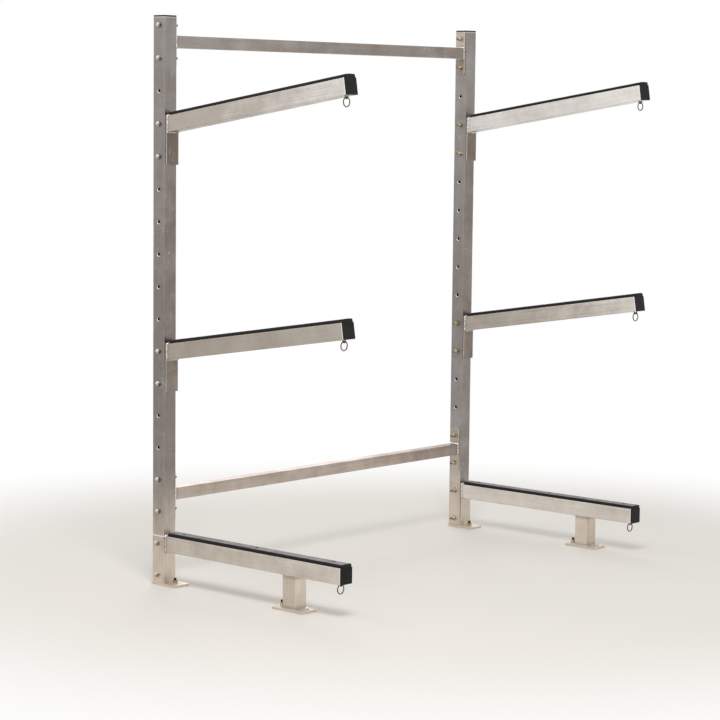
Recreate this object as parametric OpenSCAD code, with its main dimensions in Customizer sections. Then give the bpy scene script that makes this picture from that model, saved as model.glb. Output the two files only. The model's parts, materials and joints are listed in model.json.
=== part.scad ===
// Dock kayak rack: two drilled square posts, two crossbars and six padded arms.
// Millimetres, +Z up. The origin is on the floor, at the middle of the rack's footprint.
// The posts stand at the back, and the arms reach towards -Y.

/* [Frame] */
// Width over the outer faces of the two posts
frame_w = 1524; // [900:1:2400]
// Side of the square tube of the posts
post_w = 50.8; // [44:0.1:64]
// Wall of the post tube
post_wall = 3.2; // [2:0.1:5]
// Distance between neighbouring bolt holes in a post
hole_pitch = 101.6; // [92:0.1:120]
// Number of bolt holes in a post
hole_count = 18; // [17:1:22]
// Distance from a tube, plate or bracket end to its first hole
hole_end = 25.4; // [16:0.1:32]
// Diameter of the bolt holes
hole_d = 11.1; // [10:0.1:13]
// Outer corner radius of the square tubes
tube_r = 1.6; // [0.8:0.1:3]

/* [Crossbars] */
// Side of the square tube of the crossbars, and width of their end plates
bar_w = 38.1; // [25:0.1:50]
// Wall of the crossbar tube
bar_wall = 3.2; // [2:0.1:5]
// Thickness of the welded end plates
end_plate_t = 6.4; // [4:0.1:10]
// Lower bolt hole of the lower crossbar, counted from the floor
lower_bar_hole = 2; // [2:1:4]

/* [Arms] */
// Side of the square tube of the arms and of the legs
arm_w = 50.8; // [44:0.1:60]
// Wall of the tube of the arms and of the legs
arm_wall = 3.2; // [2:0.1:5]
// Length of an arm tube from its bracket to its end
arm_len = 749; // [640:1:1000]
// Upward tilt of the middle and upper arms, in degrees
arm_tilt = 9; // [0:0.5:15]
// Lower bolt hole of the middle arms, counted from the floor
middle_arm_hole = 6; // [6:1:8]
// Lower bolt hole of the upper arms, counted from the floor
upper_arm_hole = 13; // [12:1:13]
// Leg of the angle brackets
angle_leg = 50.8; // [46:0.1:60]
// Thickness of the angle brackets
angle_t = 4.8; // [3:0.1:8]

/* [Pads and caps] */
// Width of the rubber pads
pad_w = 43; // [30:0.1:44]
// Thickness of the rubber pads
pad_t = 9.5; // [7:0.1:16]
// Radius of the pads' long top edges
pad_r = 5; // [2:0.1:6]
// Space between a pad and its bracket
pad_gap = 10; // [4:0.1:20]
// Distance from the pad's end to its outer screw
pad_screw_end = 51; // [20:1:120]
// Number of screws in a pad
pad_screws_n = 3; // [2:1:6]
// Thickness of the heads of the arms' caps
cap_t = 3.2; // [2:0.1:6]
// Thickness of the heads of the posts' caps
post_cap_t = 4.8; // [2:0.1:8]
// Depth of the plugs of the tube caps
plug_depth = 16; // [10:1:30]

/* [Legs and feet] */
// Clear distance from the front of the posts to the back of the legs
leg_gap = 520; // [300:1:560]
// Thickness of the plates that stand on the floor
base_plate_t = 6.4; // [4:0.1:12]
// Width of the plates that stand on the floor
base_plate_w = 63.5; // [61:0.1:100]
// Length of a leg plate
leg_plate_len = 127; // [120:1:200]
// Distance between the two anchor holes of a leg plate
leg_anchor_pitch = 101.6; // [90:0.1:104]
// Reach of a foot plate in front of its post
foot_reach = 57; // [48:1:120]
// Distance from the front of a post to its anchor hole
foot_anchor = 26; // [22:1:34]
// Diameter of the anchor holes
anchor_d = 11.1; // [9:0.1:14]
// Corner radius of the flat plates
plate_r = 3; // [1:0.1:6]

/* [Rings] */
// Wire diameter of the hanging rings
ring_wire = 3.5; // [2.5:0.1:4.5]
// Outer diameter of the hanging rings
ring_d = 31; // [26:0.5:45]
// Wire diameter of the welded eyes
eye_wire = 4; // [3:0.1:5]
// Distance from an arm tube's end to its eye
eye_back = 20; // [17:1:60]
// Space between a ring's wire and the inside of its eye, underneath
ring_play = 0.3; // [0.2:0.1:0.8]

/* [Fasteners] */
// Shank diameter of the hexagon bolts
bolt_d = 9.5; // [8:0.1:9.8]
// Length of the hexagon bolts under the head
bolt_len = 76.2; // [74:0.1:90]
// Size of the hexagon across its flats
hex_af = 14.3; // [13:0.1:16]
// Height of the bolt heads
head_h = 6; // [5:0.1:8]
// Height of the hexagon of a lock nut
nut_h = 8; // [6:0.1:9]
// Height of the round collar of a lock nut
collar_h = 3; // [2:0.1:4]
// Shank diameter of the pad screws
screw_d = 4.2; // [3:0.1:5]
// Head diameter of the pad screws
screw_head_d = 8.4; // [7.5:0.1:9]

/* [Hidden] */
$fn = 40;

// Sides and levels
LEFT = -1;
RIGHT = 1;
LOWER = 0;
MIDDLE = 1;
UPPER = 2;
SIDES = [LEFT, RIGHT];
LEVELS = [LOWER, MIDDLE, UPPER];

// Overlap of a cutting body past the face that it opens
cut = 1;
// Radius inside the angle brackets' corner, which clears the posts' corners
angle_fillet = 0.75 * tube_r;
// Clearance of a cap's fins in its tube, on each side
plug_fit = 0.2;
// Height of a plug's fins over its core, and their thickness
fin_h = 1.6;
fin_t = 1.5;
fin_n = 3;
// Wall of a hollow plug
plug_wall = 2;
// Bevel round a cap's head
cap_bevel = 1.2;
// Radial clearance of a bolt in its nut and of a screw in its holes
thread_fit = 0.05;
screw_fit = 0.2;
// Recess of a pad screw's head under the pad's top, and the head's own height
pad_recess = 4;
screw_head_h = 2.6;
// Reach of a pad screw under the arm's top wall
screw_tip = 6;
// Clearance round a screw's head in its recess
recess_fit = 0.8;
// Bevels on bolt heads and on bolt tips
head_bevel = 0.9;
tip_bevel = 1.2;
// Extra diameter of a bevel's cone where it starts over a hexagon's corners
bevel_extra = 0.2;
// Step from a nut's flats in to its round collar
collar_step = 0.8;

// The posts
post_x = (frame_w - post_w) / 2;
post_len = 2 * hole_end + (hole_count - 1) * hole_pitch;
post_base_z = base_plate_t;
post_top_z = post_base_z + post_len;
upper_bar_hole = hole_count - 2;
lower_arm_hole = 0;

// The footprint, from the backs of the posts to the caps of the lower arms
arm_reach = angle_t + arm_len + cap_t;
post_front_y = (arm_reach - post_w) / 2;
post_y = post_front_y + post_w / 2;

// Brackets and end plates share one height, one pitch plus an end on each side
bracket_h = hole_pitch + 2 * hole_end;

// Rings and eyes: the wire hangs on the inside of the eye
eye_clearance = 1.25;
eye_inner_r = ring_wire / 2 + eye_clearance;
eye_leg = 2.7;
ring_r = (ring_d - ring_wire) / 2;
ring_drop = eye_leg + eye_inner_r - ring_play - ring_wire / 2;

// Legs
leg_y = post_front_y - leg_gap - arm_w / 2;

function hole_z(i) = post_base_z + hole_end + i * hole_pitch;
function first_hole(level) = [lower_arm_hole, middle_arm_hole, upper_arm_hole][level];
function bracket_z(level) = hole_z(first_hole(level)) - hole_end;
function arm_top_z(level) = bracket_z(level) + bracket_h;
function tilt_of(level) = level == LOWER ? 0 : arm_tilt;
// The brackets' side legs lie on the right of a post, or on its outer face at the foot
function hand_of(side, level) = level == LOWER ? side : RIGHT;
// The tilted arms lie flush with their brackets, and the lower arms with their posts
function arm_x(side, level) =
    side * post_x + (level == LOWER ? 0 : (post_w - angle_leg) / 2 + angle_t);
function spread(i, n, low, high) = low + i * (high - low) / (n - 1);
function pad_end() = arm_len + cap_t;
function pad_screw_u(i) =
    spread(i, pad_screws_n, pad_gap + pad_screw_end, pad_end() - pad_screw_end);

// A rectangle with round corners, centred
module rounded_rect(w, h, r) {
    square([w - 2 * r, h], center = true);
    square([w, h - 2 * r], center = true);
    for (x = [-1, 1], y = [-1, 1])
        translate([x * (w / 2 - r), y * (h / 2 - r)])
            circle(r);
}

// The section of a square tube, centred
module tube_section(w, wall) {
    difference() {
        rounded_rect(w, w, tube_r);
        square(w - 2 * wall, center = true);
    }
}

// A flat plate standing on its own underside
module flat_plate(w, h, t) {
    linear_extrude(t)
        rounded_rect(w, h, plate_r);
}

// A hexagonal prism of a given size across its flats, with its outer end turned down
module hex_body(af, h, bevel) {
    intersection() {
        cylinder(d = af / cos(30), h = h, $fn = 6);
        union() {
            cylinder(d = af / cos(30) + cut, h = h - bevel);
            translate([0, 0, h - bevel])
                cylinder(d1 = af / cos(30) + bevel_extra, d2 = af - bevel, h = bevel);
        }
    }
}

// A hexagon bolt: its head stands on z = 0 and its shank runs down
module hex_bolt() {
    hex_body(hex_af, head_h, head_bevel);
    translate([0, 0, tip_bevel - bolt_len])
        cylinder(d = bolt_d, h = bolt_len - tip_bevel);
    translate([0, 0, -bolt_len])
        cylinder(d1 = bolt_d - 2 * tip_bevel, d2 = bolt_d, h = tip_bevel);
}

// A lock nut with its round collar, standing on z = 0
module lock_nut() {
    difference() {
        union() {
            hex_body(hex_af, nut_h, head_bevel);
            cylinder(d = hex_af - 2 * collar_step, h = nut_h + collar_h);
        }
        translate([0, 0, -cut])
            cylinder(d = bolt_d + 2 * thread_fit, h = nut_h + collar_h + 2 * cut);
    }
}

// A plastic cap for a square tube: its head stands on z = 0 and its plug hangs below
module tube_cap(w, wall, head_t) {
    room = w - 2 * wall - 2 * plug_fit;
    core = room - 2 * fin_h;
    intersection() {
        linear_extrude(head_t)
            rounded_rect(w, w, tube_r);
        for_bevels(w, head_t);
    }
    difference() {
        union() {
            translate([0, 0, -plug_depth])
                linear_extrude(plug_depth)
                    square(core, center = true);
            for (i = [0:fin_n - 1])
                translate([0, 0, -spread(i, fin_n, 2 * fin_t, plug_depth)])
                    linear_extrude(fin_t)
                        rounded_rect(room, room, fin_h);
        }
        translate([0, 0, -plug_depth - cut])
            linear_extrude(plug_depth + cut)
                square(core - 2 * plug_wall, center = true);
    }
}

// The body that bevels the four edges of a cap's head
module for_bevels(w, head_t) {
    intersection_for (turn = [0, 90])
        rotate([0, 0, turn])
            rotate([90, 0, 0])
                translate([0, 0, -w])
                    linear_extrude(2 * w)
                        polygon([
                            [-w / 2, 0], [w / 2, 0],
                            [w / 2, head_t - cap_bevel], [w / 2 - cap_bevel, head_t],
                            [cap_bevel - w / 2, head_t], [-w / 2, head_t - cap_bevel]
                        ]);
}

// Places its children in an arm's own frame: the arm's top at its bracket is the
// origin, -Y runs out along the arm, and +Z is square to its top
module on_arm(side, level) {
    translate([arm_x(side, level), post_front_y - angle_t, arm_top_z(level)])
        rotate([-tilt_of(level), 0, 0])
            children();
}

// Places its children at a ring's pivot, upright
module at_pivot(side, level) {
    tilt = tilt_of(level);
    u = arm_len - eye_back;
    v = arm_w + ring_drop;
    translate([
        arm_x(side, level),
        post_front_y - angle_t - u * cos(tilt) - v * sin(tilt),
        arm_top_z(level) + u * sin(tilt) - v * cos(tilt)
    ])
        children();
}

// A post: a square tube with a row of bolt holes from side to side
module post(side) {
    color("#8f8b86")
        translate([side * post_x, post_y, post_base_z])
            difference() {
                linear_extrude(post_len)
                    tube_section(post_w, post_wall);
                for (i = [0:hole_count - 1])
                    translate([0, 0, hole_z(i) - post_base_z])
                        rotate([0, 90, 0])
                            cylinder(d = hole_d, h = post_w + 2 * cut, center = true);
            }
}

module post_cap(side) {
    color("#242323")
        translate([side * post_x, post_y, post_top_z])
            tube_cap(post_w, post_wall, post_cap_t);
}

// A crossbar between its two end plates, centred on two neighbouring holes
module crossbar(hole) {
    bar_len = 2 * (post_x - post_w / 2 - end_plate_t);
    color("#8a8681")
        translate([0, post_y, hole_z(hole) + hole_pitch / 2])
            rotate([0, 90, 0])
                translate([0, 0, -bar_len / 2])
                    linear_extrude(bar_len)
                        tube_section(bar_w, bar_wall);
}

// The two welded end plates of a crossbar
module bar_plates(hole) {
    color("#9a9691")
        for (side = SIDES)
            translate([side * (post_x - post_w / 2), post_y, hole_z(hole) + hole_pitch / 2])
                rotate([0, -side * 90, 0])
                    difference() {
                        flat_plate(bracket_h, bar_w, end_plate_t);
                        for (end = [-1, 1])
                            translate([end * hole_pitch / 2, 0, -cut])
                                cylinder(d = hole_d, h = end_plate_t + 2 * cut);
                    }
}

// An angle bracket: its front leg lies on the post's front, its side leg beside it
module bracket(side, level) {
    hand = hand_of(side, level);
    color("#98948f")
        translate([side * post_x, post_front_y, bracket_z(level)])
            mirror([hand == RIGHT ? 0 : 1, 0, 0])
                difference() {
                    translate([post_w / 2 + angle_t - angle_leg / 2, angle_leg / 2 - angle_t, 0])
                        linear_extrude(bracket_h)
                            difference() {
                                rounded_rect(angle_leg, angle_leg, tube_r / 2);
                                translate([-angle_t - cut, angle_t + cut])
                                    rounded_rect(angle_leg + 2 * cut, angle_leg + 2 * cut, angle_fillet);
                            }
                    for (i = [0, 1])
                        translate([post_w / 2 - cut, post_w / 2, hole_end + i * hole_pitch])
                            rotate([0, 90, 0])
                                cylinder(d = hole_d, h = angle_t + 2 * cut);
                }
}

// An arm: a square tube cut upright at its bracket, with its pad's screw holes
module arm(side, level) {
    tilt = tilt_of(level);
    back = arm_w * tan(tilt) + cut;
    color("#b5aca2")
        on_arm(side, level)
            difference() {
                translate([0, back, -arm_w / 2])
                    rotate([90, 0, 0])
                        linear_extrude(arm_len + back)
                            tube_section(arm_w, arm_wall);
                rotate([tilt, 0, 0])
                    translate([-arm_w, 0, -2 * arm_w])
                        cube([2 * arm_w, 2 * back + arm_w, 3 * arm_w]);
                for (i = [0:pad_screws_n - 1])
                    translate([0, -pad_screw_u(i), -arm_wall - cut])
                        cylinder(d = screw_d + 2 * screw_fit, h = arm_wall + 2 * cut);
            }
}

// A rubber pad with round top edges and sunk screw holes
module pad(side, level) {
    color("#2a2828")
        on_arm(side, level)
            difference() {
                translate([0, -pad_gap, 0])
                    rotate([90, 0, 0])
                        linear_extrude(pad_end() - pad_gap)
                            pad_section();
                for (i = [0:pad_screws_n - 1])
                    translate([0, -pad_screw_u(i), 0]) {
                        translate([0, 0, -cut])
                            cylinder(d = screw_d + 2 * screw_fit, h = pad_t + 2 * cut);
                        translate([0, 0, pad_t - pad_recess])
                            cylinder(d = screw_head_d + 2 * recess_fit, h = pad_recess + cut);
                    }
            }
}

// The pad's section stands on the arm's top
module pad_section() {
    intersection() {
        rounded_rect(pad_w, 2 * pad_t, pad_r);
        translate([-pad_w, 0])
            square([2 * pad_w, 2 * pad_t]);
    }
}

module arm_cap(side, level) {
    color("#242323")
        on_arm(side, level)
            translate([0, -arm_len, -arm_w / 2])
                rotate([90, 0, 0])
                    tube_cap(arm_w, arm_wall, cap_t);
}

// An eye: a bent wire welded to the arm's underside, open from side to side
module eye(side, level) {
    bend_r = eye_inner_r + eye_wire / 2;
    color("#8d8f90")
        on_arm(side, level)
            translate([0, eye_back - arm_len, -arm_w - eye_leg])
                rotate([90, 0, 90]) {
                    rotate([0, 0, 180])
                        rotate_extrude(angle = 180)
                            translate([bend_r, 0])
                                circle(d = eye_wire);
                    for (x = [-1, 1])
                        translate([x * bend_r, 0, 0])
                            rotate([-90, 0, 0])
                                cylinder(d = eye_wire, h = eye_leg);
                }
}

// A closed wire ring that hangs in its eye and swings fore and aft
module ring(side, level) {
    color("#6f7173")
        at_pivot(side, level)
            translate([0, 0, -ring_r])
                rotate([90, 0, 0])
                    rotate_extrude()
                        translate([ring_r, 0])
                            circle(d = ring_wire);
}

// A leg under a lower arm
module leg(side) {
    color("#8f8a82")
        translate([arm_x(side, LOWER), leg_y, base_plate_t])
            linear_extrude(arm_top_z(LOWER) - arm_w - base_plate_t)
                tube_section(arm_w, arm_wall);
}

// A leg's plate with an anchor hole before and behind the leg
module leg_plate(side) {
    color("#9a958d")
        translate([arm_x(side, LOWER), leg_y, 0])
            difference() {
                flat_plate(base_plate_w, leg_plate_len, base_plate_t);
                for (end = [-1, 1])
                    translate([0, end * leg_anchor_pitch / 2, -cut])
                        cylinder(d = anchor_d, h = base_plate_t + 2 * cut);
            }
}

// A plate under a post and its lower bracket, with one anchor hole in front
module foot_plate(side) {
    plate_len = post_w + foot_reach;
    color("#9a958d")
        translate([side * post_x, post_front_y + (post_w - foot_reach) / 2, 0])
            difference() {
                flat_plate(base_plate_w, plate_len, base_plate_t);
                translate([0, plate_len / 2 - post_w - foot_anchor, -cut])
                    cylinder(d = anchor_d, h = base_plate_t + 2 * cut);
            }
}

// A bolt from the outer face inwards; out is the distance from post centre to head
module bolt_at(side, out, hole) {
    translate([side * (post_x + out), post_y, hole_z(hole)])
        rotate([0, side * 90, 0])
            hex_bolt();
}

// A nut on the inner face; inner is the distance from post centre to nut
module nut_at(side, inner, hole) {
    translate([side * (post_x - inner), post_y, hole_z(hole)])
        rotate([0, -side * 90, 0])
            lock_nut();
}

module crossbar_bolts() {
    color("#c9c7c2")
        for (side = SIDES, hole = [lower_bar_hole, upper_bar_hole], i = [0, 1])
            bolt_at(side, post_w / 2, hole + i);
}

module crossbar_nuts() {
    color("#c2b066")
        for (side = SIDES, hole = [lower_bar_hole, upper_bar_hole], i = [0, 1])
            nut_at(side, post_w / 2 + end_plate_t, hole + i);
}

module arm_bolts() {
    color("#c9c7c2")
        for (side = SIDES, level = LEVELS, i = [0, 1])
            bolt_at(side, post_w / 2 + (hand_of(side, level) == side ? angle_t : 0),
                    first_hole(level) + i);
}

module arm_nuts() {
    color("#c2b066")
        for (side = SIDES, level = LEVELS, i = [0, 1])
            nut_at(side, post_w / 2 + (hand_of(side, level) == side ? 0 : angle_t),
                   first_hole(level) + i);
}

// Pan-head screws that hold the pads to the arms
module pad_screws() {
    color("#3a3a3a")
        for (side = SIDES, level = LEVELS, i = [0:pad_screws_n - 1])
            on_arm(side, level)
                translate([0, -pad_screw_u(i), 0]) {
                    translate([0, 0, pad_t - pad_recess])
                        cylinder(d = screw_head_d, h = screw_head_h);
                    translate([0, 0, -arm_wall - screw_tip])
                        cylinder(d = screw_d, h = arm_wall + screw_tip + pad_t - pad_recess);
                }
}

post(LEFT);  // left_post
post(RIGHT);  // right_post
post_cap(LEFT);  // left_post_cap
post_cap(RIGHT);  // right_post_cap
crossbar(upper_bar_hole);  // upper_crossbar
crossbar(lower_bar_hole);  // lower_crossbar
bar_plates(upper_bar_hole);  // upper_bar_plates
bar_plates(lower_bar_hole);  // lower_bar_plates
foot_plate(LEFT);  // left_foot_plate
foot_plate(RIGHT);  // right_foot_plate
bracket(LEFT, UPPER);  // upper_left_bracket
bracket(RIGHT, UPPER);  // upper_right_bracket
bracket(LEFT, MIDDLE);  // middle_left_bracket
bracket(RIGHT, MIDDLE);  // middle_right_bracket
bracket(LEFT, LOWER);  // lower_left_bracket
bracket(RIGHT, LOWER);  // lower_right_bracket
arm(LEFT, UPPER);  // upper_left_arm
arm(RIGHT, UPPER);  // upper_right_arm
arm(LEFT, MIDDLE);  // middle_left_arm
arm(RIGHT, MIDDLE);  // middle_right_arm
arm(LEFT, LOWER);  // lower_left_arm
arm(RIGHT, LOWER);  // lower_right_arm
pad(LEFT, UPPER);  // upper_left_pad
pad(RIGHT, UPPER);  // upper_right_pad
pad(LEFT, MIDDLE);  // middle_left_pad
pad(RIGHT, MIDDLE);  // middle_right_pad
pad(LEFT, LOWER);  // lower_left_pad
pad(RIGHT, LOWER);  // lower_right_pad
arm_cap(LEFT, UPPER);  // upper_left_arm_cap
arm_cap(RIGHT, UPPER);  // upper_right_arm_cap
arm_cap(LEFT, MIDDLE);  // middle_left_arm_cap
arm_cap(RIGHT, MIDDLE);  // middle_right_arm_cap
arm_cap(LEFT, LOWER);  // lower_left_arm_cap
arm_cap(RIGHT, LOWER);  // lower_right_arm_cap
eye(LEFT, UPPER);  // upper_left_eye
eye(RIGHT, UPPER);  // upper_right_eye
eye(LEFT, MIDDLE);  // middle_left_eye
eye(RIGHT, MIDDLE);  // middle_right_eye
eye(LEFT, LOWER);  // lower_left_eye
eye(RIGHT, LOWER);  // lower_right_eye
ring(LEFT, UPPER);  // upper_left_ring
ring(RIGHT, UPPER);  // upper_right_ring
ring(LEFT, MIDDLE);  // middle_left_ring
ring(RIGHT, MIDDLE);  // middle_right_ring
ring(LEFT, LOWER);  // lower_left_ring
ring(RIGHT, LOWER);  // lower_right_ring
leg(LEFT);  // left_leg
leg(RIGHT);  // right_leg
leg_plate(LEFT);  // left_leg_plate
leg_plate(RIGHT);  // right_leg_plate
crossbar_bolts();
crossbar_nuts();
arm_bolts();
arm_nuts();
pad_screws();
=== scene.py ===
"""Finishes, small hardware, floor, light and camera of a dock kayak rack.

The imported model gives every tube, plate and bracket its place. This script gives
each of them its finish, and adds what is worked out as surfaces: weld beads,
threaded bolts and nuts, rubber pads with their screws, moulded caps, wire eyes
and rings, and the anchors that hold the plates down. Sizes are in metres in the
model's own frame: +X along the crossbars, +Z up, the arms towards -Y.
"""

import json
import logging
import math
from dataclasses import dataclass, field
from enum import Enum

import bpy
import numpy as np
from mathutils import Matrix, Vector


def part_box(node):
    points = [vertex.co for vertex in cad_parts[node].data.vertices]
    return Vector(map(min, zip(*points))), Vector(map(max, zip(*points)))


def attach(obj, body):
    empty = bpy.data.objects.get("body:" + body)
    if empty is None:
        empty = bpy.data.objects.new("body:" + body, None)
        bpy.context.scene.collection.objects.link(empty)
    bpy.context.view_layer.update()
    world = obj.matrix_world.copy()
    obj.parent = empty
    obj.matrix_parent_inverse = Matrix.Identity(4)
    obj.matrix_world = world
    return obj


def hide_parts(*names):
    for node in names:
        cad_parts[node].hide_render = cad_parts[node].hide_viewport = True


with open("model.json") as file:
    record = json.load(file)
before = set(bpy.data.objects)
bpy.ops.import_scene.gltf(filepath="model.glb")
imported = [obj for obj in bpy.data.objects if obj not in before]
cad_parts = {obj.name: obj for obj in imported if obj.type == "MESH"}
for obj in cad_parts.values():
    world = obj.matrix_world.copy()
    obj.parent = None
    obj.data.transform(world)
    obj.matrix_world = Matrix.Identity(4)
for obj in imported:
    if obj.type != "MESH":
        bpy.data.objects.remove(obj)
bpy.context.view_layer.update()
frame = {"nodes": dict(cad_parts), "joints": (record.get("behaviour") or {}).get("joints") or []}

log = logging.getLogger("rack")

Material = bpy.types.Material
Tree = bpy.types.NodeTree
Node = bpy.types.Node
Socket = bpy.types.NodeSocket

# One millimetre, because the sizes below are written in millimetres
MM = 0.001
FULL_TURN = 2 * math.pi

# Directions in the rack's frame
Way = tuple[int, int, int]
UP, DOWN = (0, 0, 1), (0, 0, -1)
FRONT, BACK = (0, -1, 0), (0, 1, 0)
LEFTWARD, RIGHTWARD = (-1, 0, 0), (1, 0, 0)

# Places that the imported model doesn't state by itself
ARM_TILT = math.radians(9.0)
HOLE_PITCH = 101.6 * MM
HOLE_END = 25.4 * MM
# The body that carries all that doesn't swing
RACK = "rack"


class Side(Enum):
    """A side of the rack, seen from in front of the arms' tips."""

    LEFT = -1
    RIGHT = 1

    @property
    def word(self) -> str:
        """The side's word in the names of its pieces."""
        return self.name.lower()


class Level(Enum):
    """A level of arms, with its lower bolt hole counted from the floor."""

    LOWER = 0
    MIDDLE = 6
    UPPER = 13

    @property
    def word(self) -> str:
        """The level's word in the names of its pieces."""
        return self.name.lower()

    @property
    def tilt(self) -> float:
        """The upward tilt of the level's arms, in radians."""
        return 0.0 if self is Level.LOWER else ARM_TILT


class Grain(Enum):
    """The direction in which a tube or plate was drawn through its die."""

    ALONG_X = (1, 0, 0)
    ALONG_Y = (0, 1, 0)
    ALONG_Z = (0, 0, 1)


# Surfaces


@dataclass
class Shell:
    """A closed surface: its points and the faces between them."""

    points: np.ndarray
    faces: list[list[int]]

    def placed(self, matrix: Matrix) -> "Shell":
        """The shell moved by a matrix."""
        m = np.array(matrix)
        return Shell(self.points @ m[:3, :3].T + m[:3, 3], self.faces)

    def outward(self) -> "Shell":
        """The shell with its faces turned outwards.

        Six times the volume of a closed surface is the sum of a . (b x c) over its
        triangles, which is negative where the faces point in.

        Returns:
            The shell, turned where it has to be.
        """
        fans = [(f[0], f[k], f[k + 1]) for f in self.faces for k in range(1, len(f) - 1)]
        a, b, c = (self.points[np.array(fans)[:, k]] for k in range(3))
        if np.einsum("ij,ij->", a, np.cross(b, c)) < 0:
            return Shell(self.points, [f[::-1] for f in self.faces])
        return self


def loft(rings: np.ndarray, closed: bool = False) -> Shell:
    """Joins a stack of loops into a closed surface.

    Face (i, j) spans loops i and i + 1 between their points j and j + 1.

    Args:
        rings: Loops of points, as an array of loops by points by 3.
        closed: Whether the last loop joins the first, as on a torus. Otherwise one
            flat face closes each end.

    Returns:
        The surface, with its faces turned outwards.
    """
    count, sides = rings.shape[:2]
    index = np.arange(count * sides).reshape(count, sides)
    low = index if closed else index[:-1]
    high = np.roll(index, -1, 0) if closed else index[1:]
    quads = np.stack([low, np.roll(low, -1, 1), np.roll(high, -1, 1), high], -1)
    faces = quads.reshape(-1, 4).tolist()
    if not closed:
        faces += [index[0][::-1].tolist(), index[-1].tolist()]
    return Shell(rings.reshape(-1, 3), faces).outward()


def turned(heights: np.ndarray, radii: np.ndarray, closed: bool = False) -> Shell:
    """Turns a profile about Z, with a radius that may change round the turn.

    Point (i, j) is (r cos a, r sin a, z) with z = heights[i], r = radii[i, j] and a
    going once round over j.

    Args:
        heights: The height of each loop.
        radii: The radius of each point, as an array of loops by points.
        closed: Whether the profile is itself a closed loop, as round a bore.

    Returns:
        The surface.
    """
    angle = np.linspace(0, FULL_TURN, radii.shape[1], endpoint=False)
    z = np.broadcast_to(heights[:, None], radii.shape)
    return loft(np.stack([radii * np.cos(angle), radii * np.sin(angle), z], -1), closed)


def piped(path: np.ndarray, radius: np.ndarray, across: np.ndarray, closed: bool) -> Shell:
    """Carries a round section along a flat path.

    Point (i, j) is path[i] + r (cos a n + sin a b), where b is the path plane's normal
    and n lies in the plane, square to the path.

    Args:
        path: The path's points, as an array of points by 3.
        radius: The section's radius, as an array of path points by section points.
        across: The normal of the path's plane.
        closed: Whether the path is a closed loop.

    Returns:
        The surface.
    """
    if closed:
        along = np.roll(path, -1, 0) - np.roll(path, 1, 0)
    else:
        along = np.gradient(path, axis=0)
    along /= np.linalg.norm(along, axis=1, keepdims=True)
    out = np.cross(along, across)
    angle = np.linspace(0, FULL_TURN, radius.shape[1], endpoint=False)
    spokes = np.cos(angle)[None, :, None] * out[:, None] + np.sin(angle)[None, :, None] * across
    return loft(path[:, None] + radius[:, :, None] * spokes, closed)


def rounded_square(width: float, corner: float, per_corner: int = 7) -> np.ndarray:
    """The outline of a square with round corners, centred on the origin.

    Each corner is a quarter circle of points about (w/2 - r, w/2 - r), turned in
    quarter turns for the four corners.

    Args:
        width: The side of the square.
        corner: The radius of its corners.
        per_corner: The points on each corner.

    Returns:
        The outline, as an array of points by 2.
    """
    turn = np.linspace(0, math.pi / 2, per_corner)
    quarter = width / 2 - corner + corner * np.stack([np.cos(turn), np.sin(turn)], -1)
    spins = [np.array([[math.cos(a), math.sin(a)], [-math.sin(a), math.cos(a)]])
             for a in np.arange(4) * math.pi / 2]
    return np.concatenate([quarter @ spin for spin in spins])


def stepped(loop: np.ndarray, step: float) -> np.ndarray:
    """Spaces points evenly along a closed loop, by its running length.

    Args:
        loop: The loop's points, as an array of points by 3.
        step: The wanted distance between points.

    Returns:
        The evenly spaced points.
    """
    ring = np.concatenate([loop, loop[:1]])
    run = np.concatenate([[0], np.cumsum(np.linalg.norm(np.diff(ring, axis=0), axis=1))])
    at = np.linspace(0, run[-1], max(int(run[-1] / step), 8), endpoint=False)
    return np.stack([np.interp(at, run, ring[:, k]) for k in range(3)], -1)


def ease(t: np.ndarray) -> np.ndarray:
    """The smooth step 3 t^2 - 2 t^3, held at 0 below 0 and at 1 above 1."""
    t = np.clip(t, 0, 1)
    return t * t * (3 - 2 * t)


def make_piece(name: str, shells: list[Shell], finish: Material,
               body: str = RACK, stands_for: tuple[str, ...] = (),
               crease: float = 32.0) -> bpy.types.Object:
    """Makes one object of some shells, dresses it and hangs it on its body.

    Args:
        name: The piece's name.
        shells: Its closed surfaces.
        finish: Its material.
        body: The body that it rides on.
        stands_for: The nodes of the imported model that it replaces.
        crease: The angle between two faces, in degrees, from which their edge is sharp.

    Returns:
        The object.
    """
    starts = np.cumsum([0] + [len(s.points) for s in shells])
    faces = [[i + int(start) for i in face] for s, start in zip(shells, starts) for face in s.faces]
    mesh = bpy.data.meshes.new(name)
    mesh.from_pydata(np.concatenate([s.points for s in shells]).tolist(), [], faces)
    mesh.polygons.foreach_set("use_smooth", [True] * len(mesh.polygons))
    mesh.set_sharp_from_angle(angle=math.radians(crease))
    mesh.materials.append(finish)
    piece = bpy.data.objects.new(name, mesh)
    bpy.context.scene.collection.objects.link(piece)
    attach(piece, body)
    if stands_for:
        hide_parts(*stands_for)
    log.info("%s: %d faces on %s", name, len(mesh.polygons), body)
    return piece


# Finishes


def linear(code: str) -> tuple[float, float, float, float]:
    """Turns an sRGB hex colour such as "#8f8b86" into Blender's linear colour."""
    parts = [int(code[k:k + 2], 16) / 255 for k in (1, 3, 5)]
    return (*[p / 12.92 if p <= 0.04045 else ((p + 0.055) / 1.055) ** 2.4 for p in parts], 1.0)


# The two colours of a Mix node, as the numbers of their inputs
UNDER, OVER = 6, 7


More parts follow.
